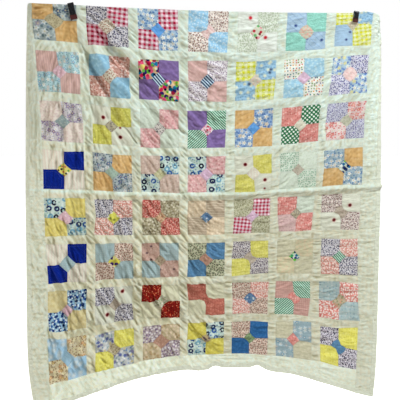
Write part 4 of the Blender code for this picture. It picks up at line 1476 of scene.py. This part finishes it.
# ---- The blocks -------------------------------------------------------------------------------------
def block_window(row, column_number):
    top = line_index(DOWN_CELLS, 3 * row) + RIM
    left = line_index(ACROSS_CELLS, 1 + 3 * column_number)
    return (0 if row == 0 else top), top + 2 * HALF_CELLS, left, left + 2 * HALF_CELLS


# By row, column and square: how far right and down a lone motif is moved besides.
MOTIF_MOVES = {
    (3, 2, 0): (0.0080, 0.0085),
    (3, 2, 3): (-0.0035, -0.0065),
    (4, 5, 0): (0.0065, -0.0115),
    (4, 5, 3): (0.0160, -0.0130),
    (5, 7, 1): (-0.0110, 0.0190),
    (5, 7, 2): (0.0085, 0.0040),
    (7, 2, 1): (0.0025, -0.0245),
    (7, 2, 2): (0.0060, 0.0045),
}
# Fabrics whose squares are cut so that one motif lies near the square's middle.
LONE_MOTIFS = ("berry_sprig", "berry_above", "berry_below", "red_sprig")


def add_block(row, column_number, fabrics, rng):
    """One bow tie block: four squares and the knot that cuts their inner corners."""
    top, bottom, left, right = block_window(row, column_number)
    window = np.s_[top : bottom + 1, left : right + 1]
    rows, columns = corner_shade_points[window].shape
    triangles, patch = block_triangles(rows, columns)
    lower_left = 3 if len(fabrics) > 3 else 1
    lower_right = 4 if len(fabrics) > 4 else 0
    fabric_of_patch = np.array([0, 1, lower_left, lower_right, 2])

    turn = rng.integers(0, 2, 5) * 180 + rng.normal(0, PRINT_TURN, 5)
    shift = rng.uniform(-PRINT_SHIFT, PRINT_SHIFT, (5, 2))
    tone = rng.normal(0, TONE_SPREAD, 5)
    for number in range(4):
        if fabrics[fabric_of_patch[number]] in LONE_MOTIFS:
            turn[number] = 0
            row_of_square, column_of_square = divmod(number, 2)
            middle_row = top + HALF_CELLS * row_of_square + HALF_CELLS // 2
            middle_column = left + HALF_CELLS * column_of_square + HALF_CELLS // 2
            move = MOTIF_MOVES.get((row + 1, column_number + 1, number), (0.0, 0.0))
            off = rng.uniform(-MOTIF_SPREAD, MOTIF_SPREAD, 2)
            shift[number] = off - flat_points[middle_row, middle_column] - move

    loops = triangles.ravel()
    loop_patch = np.repeat(patch, 3)
    flat = turned(flat_points[window].reshape(-1, 2)[loops], turn[loop_patch], shift[loop_patch])
    made = build_sheet(
        f"block_r{row + 1}_c{column_number + 1}",
        front_points[window],
        triangles,
        [fabric_materials[fabric] for fabric in fabrics],
        tile(rows, columns)[loops],
        flat,
        {key: POINT_VALUES[key][window] for key in ("seam", "valley_shade", "quilting", "left")},
        fabric_of_patch[patch],
    )
    # each patch's own tone, with the painted shade beside the left clip
    add_values(made.data, "tone", tone[loop_patch] + corner_shade_points[window].ravel()[loops], "CORNER")
    declare(made)


def add_blocks():
    rng = np.random.default_rng(BLOCK_SEED)
    for row, line in enumerate(BLOCKS):
        for column_number, block in enumerate(line.split(" | ")):
            add_block(row, column_number, block.split(), rng)


# ---- Sashing, borders and backing -------------------------------------------------------------------
def add_sashing():
    """The long strips between the rows of blocks, and the short ones between the blocks of a row."""
    left, right = BORDER_CELLS, line_index(ACROSS_CELLS, len(ACROSS_CELLS) - 1)
    levels = [line_index(DOWN_CELLS, 3 * row + 2) + RIM for row in range(ROWS - 1)]
    long_strips = [(top, top + SASH_CELLS, left, right) for top in levels]
    made = areas_sheet("sashing_rows", long_strips, (1, ROWS - 1), muslin)
    declare(made)
    short_strips = []
    for row in range(ROWS):
        top, bottom = block_window(row, 0)[:2]
        for k in range(COLUMNS - 1):
            start = line_index(ACROSS_CELLS, 3 * k + 3)
            short_strips.append((top, bottom, start, start + SASH_CELLS))
    made = areas_sheet("sashing_columns", short_strips, (COLUMNS - 1, ROWS), muslin, seed=1)
    declare(made)


def slices(top, bottom, left, right, count, lengthwise):
    """A long window cut in parts, which lie side by side on the texture."""
    if lengthwise:
        cuts = np.linspace(top, bottom, count + 1).astype(int)
        return [(a, b, left, right) for a, b in zip(cuts, cuts[1:])]
    cuts = np.linspace(left, right, count + 1).astype(int)
    return [(top, bottom, a, b) for a, b in zip(cuts, cuts[1:])]


def mean_hem(reach):
    """How far down the lower edge lies on average, out to this far from the quilt's middle."""
    return float(np.mean(hem(np.linspace(-reach, reach, 200))))


BORDER_PARTS = 4  # a border's texture is cut in this many parts


def add_borders():
    last_row, last_column = front_points.shape[0] - 1, front_points.shape[1] - 1
    foot = line_index(DOWN_CELLS, len(DOWN_CELLS) - 1) + RIM
    for name, left, right, tone, yellowing_and_shade in (
        ("border_left", 0, BORDER_CELLS, -0.05, 0.60),
        ("border_right", last_column - BORDER_CELLS, last_column, 0.02, 0.75),
    ):
        strips = slices(0, last_row, left, right, BORDER_PARTS, True)
        tiles = (BORDER_PARTS, 1)
        made = areas_sheet(name, strips, tiles, border_muslin, seed=left + 2, tone=tone, yellowing_and_shade=yellowing_and_shade)
        length = float(hem(np.array(HALF_WIDTH if left else -HALF_WIDTH)))
        declare(made)
    strips = slices(foot, last_row, BORDER_CELLS, last_column - BORDER_CELLS, BORDER_PARTS, False)
    tiles = (1, BORDER_PARTS)
    made = areas_sheet("border_bottom", strips, tiles, border_muslin, seed=5, tone=0.14, yellowing_and_shade=0.50)
    area = (mean_hem(FIELD_HALF) - FIELD_DOWN) * 2 * FIELD_HALF
    declare(made)


def add_backing():
    """The plain back of the quilt, on a coarser mesh."""
    rows = np.linspace(0, back_points.shape[0] - 1, BACK_ROWS)
    columns = np.linspace(0, back_points.shape[1] - 1, BACK_COLUMNS)
    grids = [back_points, flat_points, *(POINT_VALUES[key] for key in ("seam", "valley_shade", "quilting"))]
    points, flat, seam, valley_shade, quilting = (between(between(grid, rows, 0), columns, 1) for grid in grids)
    triangles = two_triangles(BACK_ROWS, BACK_COLUMNS, 0)[:, ::-1]
    loops = triangles.ravel()
    # on the back the painted shade lies everywhere but on the ridges behind the front's valleys
    values = {"seam": seam * 0.3, "valley_shade": 1 - valley_shade, "quilting": quilting, "left": leftness(flat[..., 0])}
    bake = tile(BACK_ROWS, BACK_COLUMNS)[loops]
    flat = flat.reshape(-1, 2)[loops] + 4.0
    made = build_sheet("backing", points, triangles, [backing_cotton], bake, flat, values)
    area = mean_hem(HALF_WIDTH) * 2 * HALF_WIDTH
    declare(made)
    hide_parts("quilt")


# ---- Bindings ---------------------------------------------------------------------------------------
BINDING_STEP = 0.0028
COVER = 0.0009  # the strip lies this far above the quilt
ROLL = 0.0032  # radius of its fold round the edge
END_ROUND = 0.004


def binding_section():
    """The strip's section: distance from the edge, height over the middle surface, and turn at the edge."""
    front = [(BINDING, 0.0014), (BINDING - 0.0006, 0.0026), (BINDING - 0.002, 0.0031)]
    front += [(x, THICK / 2 + COVER + 0.0002) for x in (0.017, 0.0135, 0.010, 0.0065, 0.0035)]
    section = [(inset, height, 0.0) for inset, height in front]
    section += [(0.0, ROLL, degrees) for degrees in range(0, 181, 30)]
    section += [(inset, -height, 0.0) for inset, height in front[::-1]]
    return section


def surface(across, down):
    """The quilt's middle surface at any flat places."""
    step = 0.002
    rightward = hang(across + step, down) - hang(across - step, down)
    downward = hang(across, down + step) - hang(across, down - step)
    normal = np.cross(downward, rightward)
    normal /= np.linalg.norm(normal, axis=-1, keepdims=True)
    return hang(across, down) + relief(across, down)[..., None] * normal


def binding_points(edge_across, edge_down, inward, seed):
    """Points of a strip folded round an edge. inward is the flat way in from the edge."""
    places = np.arange(len(edge_across)) * BINDING_STEP
    to_end = np.minimum(places, places[-1] - places)
    ends = np.sqrt(np.clip(1 - (1 - np.clip(to_end / END_ROUND, 0, 1)) ** 2, 0, 1))
    probe = 0.003
    rows = []
    for inset, height, degrees in binding_section():
        across, down = edge_across + inward[0] * inset, edge_down + inward[1] * inset
        middle = surface(across, down)
        inner = surface(across + inward[0] * probe, down + inward[1] * probe)
        along = np.gradient(middle, axis=0)
        out = middle - inner
        normal = np.cross(along, out)
        normal /= np.linalg.norm(normal, axis=-1, keepdims=True)
        normal *= np.where(normal[:, 1:2] > 0, -1, 1)
        out /= np.linalg.norm(out, axis=-1, keepdims=True)
        pucker = open_wrinkles(across, down)
        share = np.clip(inset / BINDING, 0, 1)
        pinch = noise(places / 0.0032, share * 1.5, seed) * 0.0006 * math.sin(math.pi * min(1, 0.25 + share))
        if height == ROLL:
            angle = math.radians(degrees)
            offset = ROLL * (math.cos(angle) * normal + math.sin(angle) * out)
        else:
            offset = (height + math.copysign(1, height) * pinch)[:, None] * normal
        rows.append(middle + pucker[:, None] * normal + ends[:, None] * offset)
    return np.array(rows)


def add_binding(name, edge_across, edge_down, inward):
    points = binding_points(edge_across, edge_down, inward, 401 + len(name))
    rows, columns = points.shape[:2]
    triangles = two_triangles(rows, columns, 0)
    steps = np.linalg.norm(np.diff(points[:, columns // 2], axis=0), axis=-1)
    section = np.array([0.0, *np.cumsum(steps)])
    along = np.arange(columns) * BINDING_STEP
    flat = np.stack(np.meshgrid(along, section), -1).reshape(-1, 2)
    # darker where the strip meets the quilt's face, partly soiling and partly painted shade
    values = {"seam": bell(flat[:, 1], 0.002), "quilting": np.full(len(flat), 0.5)}
    places = flat[triangles.ravel()] + 2.2 + len(name)
    bake = strip_tiles(rows, columns, BORDER_PARTS)
    made = build_sheet(name, points, triangles, [edging_cotton], bake, places, values)
    declare(made)
    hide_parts(name)


def strip_tiles(rows, columns, parts):
    """Texture places of a long strip's triangles, its length cut in parts, each with its own tile."""
    i, j = np.mgrid[0 : rows - 1, 0 : columns - 1]
    part_columns = math.ceil((columns - 1) / parts)
    part = j // part_columns
    corner_i = np.stack([i, i + 1, i, i, i + 1, i + 1], -1)
    corner_j = np.stack([j, j, j + 1, j + 1, j, j + 1], -1) - (part * part_columns)[..., None]
    u = within_tile(corner_j / part_columns)
    v = (part[..., None] + within_tile(corner_i / (rows - 1))) / parts
    return np.stack([u, v], -1).reshape(-1, 2)


def add_bindings():
    for name, side in (("binding_left", -1), ("binding_right", 1)):
        length = float(hem(np.array(side * HALF_WIDTH)))
        down = np.arange(0, length, BINDING_STEP)
        across = np.full(len(down), side * HALF_WIDTH)
        add_binding(name, across, down, (-side, 0))
    across = np.arange(-HALF_WIDTH + 0.003, HALF_WIDTH - 0.003, BINDING_STEP)
    add_binding("binding_bottom", across, hem(across), (0, -1))


# ---- Clips ------------------------------------------------------------------------------------------
def hard_material(name, colour, worn, roughness, metallic=0.0, grain=900.0, depth=0.00006):
    """Moulded or painted stuff with scuffs, dust and a fine grain."""
    mat, tree, shader = new_material(name, roughness)
    place = node(tree, "TexCoord", {}).outputs["Object"]
    scuffs = cloud(tree, place, 160.0, 4.0, flat=False)
    grains = cloud(tree, place, grain, 2.0, flat=False)
    wear = maths(tree, "MULTIPLY", below(tree, scuffs, 0.40, 0.10), 0.5)
    bump = node(tree, "Bump", {"Height": grains, "Strength": 0.6, "Distance": depth})
    looks = {
        "Base Color": mix(tree, wear, colour, worn),
        "Roughness": maths(tree, "MULTIPLY_ADD", scuffs, 0.25, roughness - 0.12),
        "Metallic": metallic,
        "Normal": bump.outputs[0],
    }
    fill(tree, shader, looks)
    return mat


def finish_clips():
    black = hard_material("black_plastic", (8, 8, 9), (26, 26, 28), 0.46)
    red = hard_material("red_rubber", (70, 8, 5), (116, 54, 22), 0.66, grain=1400.0, depth=0.0001)
    steel = hard_material("black_steel", (34, 34, 38), (96, 94, 92), 0.36, metallic=0.5)
    for name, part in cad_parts.items():
        for word, finish in (("_jaw_", black), ("_tip_", red), ("_spring", steel)):
            if word in name:
                part.data.materials.clear()
                part.data.materials.append(finish)


# ---- Stage ------------------------------------------------------------------------------------------
FLOOR_LEVEL = -2.06
FLOOR_HALF = 14.0
AMBIENT = 0.13
CAMERA_PLACE = Vector((-0.28, -3.0, -0.345))
CAMERA_AIM = Vector((-0.03, 0.0, -0.8485))
CAMERA_ROLL = 0.0084
CAMERA_LENS = 59.2


def add_floor():
    """A floor that gives off white light to the camera alone, so that it vanishes into the background."""
    mesh = bpy.data.meshes.new("floor")
    corners = [(-1, -1), (1, -1), (1, 1), (-1, 1)]
    mesh.from_pydata([(x * FLOOR_HALF, y * FLOOR_HALF, FLOOR_LEVEL) for x, y in corners], [], [(0, 1, 2, 3)])
    mat, tree, shader = new_material("pale_floor", 0.9)
    ray = node(tree, "LightPath", {}).outputs["Is Camera Ray"]
    looks = {"Base Color": (0.86, 0.86, 0.86, 1), "Emission Color": (1, 1, 1, 1)}
    fill(tree, shader, {**looks, "Emission Strength": maths(tree, "MULTIPLY", ray, 0.96)})
    mesh.materials.append(mat)
    add_object("floor", mesh)


def add_light(name, place, aim, size, power, colour):
    lamp = bpy.data.lights.new(name, "AREA")
    lamp.shape = "SQUARE"
    lamp.size = size
    lamp.energy = power
    lamp.color = colour
    light = add_object(name, lamp)
    light.location = place
    light.rotation_euler = (Vector(aim) - Vector(place)).to_track_quat("-Z", "Y").to_euler()


def add_lights():
    """A soft key from the upper right, a fill from the left, a faint warm light from low in front and one
    for the back. The world is white to the camera and dim to all else."""
    add_light("key", (2.4, -2.4, 3.0), (0.0, 0.0, -0.9), 0.8, 207, (0.93, 1.0, 1.05))
    add_light("fill", (-4.4, -1.6, -0.6), (0.0, 0.0, -0.9), 2.5, 74, (1.0, 0.97, 0.92))
    add_light("low", (0.6, -3.4, -1.7), (0.0, 0.0, -1.4), 1.6, 8, (1.0, 0.82, 0.62))
    add_light("rear", (1.5, 4.5, 1.5), (0.0, 0.0, -0.9), 2.5, 260, (1.0, 0.98, 0.94))
    world = bpy.data.worlds.new("studio")
    bpy.context.scene.world = world
    world.use_nodes = True
    tree = world.node_tree
    ray = node(tree, "LightPath", {}).outputs["Is Camera Ray"]
    strength = maths(tree, "MULTIPLY_ADD", ray, 1.0 - AMBIENT, AMBIENT)
    fill(tree, tree.nodes["Background"], {"Color": (1, 1, 1, 1), "Strength": strength})


def add_camera():
    camera = bpy.data.cameras.new("camera")
    camera.lens = CAMERA_LENS
    camera.sensor_width = 36
    view = add_object("camera", camera)
    forward = (CAMERA_AIM - CAMERA_PLACE).normalized()
    right = forward.cross(Vector((0, 0, 1))).normalized()
    up = right.cross(forward)
    right = right * math.cos(CAMERA_ROLL) + up * math.sin(CAMERA_ROLL)
    up = right.cross(forward)
    turn = Matrix((right, up, -forward)).transposed()
    view.matrix_world = Matrix.Translation(CAMERA_PLACE) @ turn.to_4x4()
    bpy.context.scene.camera = view


add_blocks()
add_sashing()
add_borders()
add_backing()
add_bindings()
finish_clips()
add_floor()
add_lights()
add_camera()
bpy.context.scene.view_settings.view_transform = "Standard"
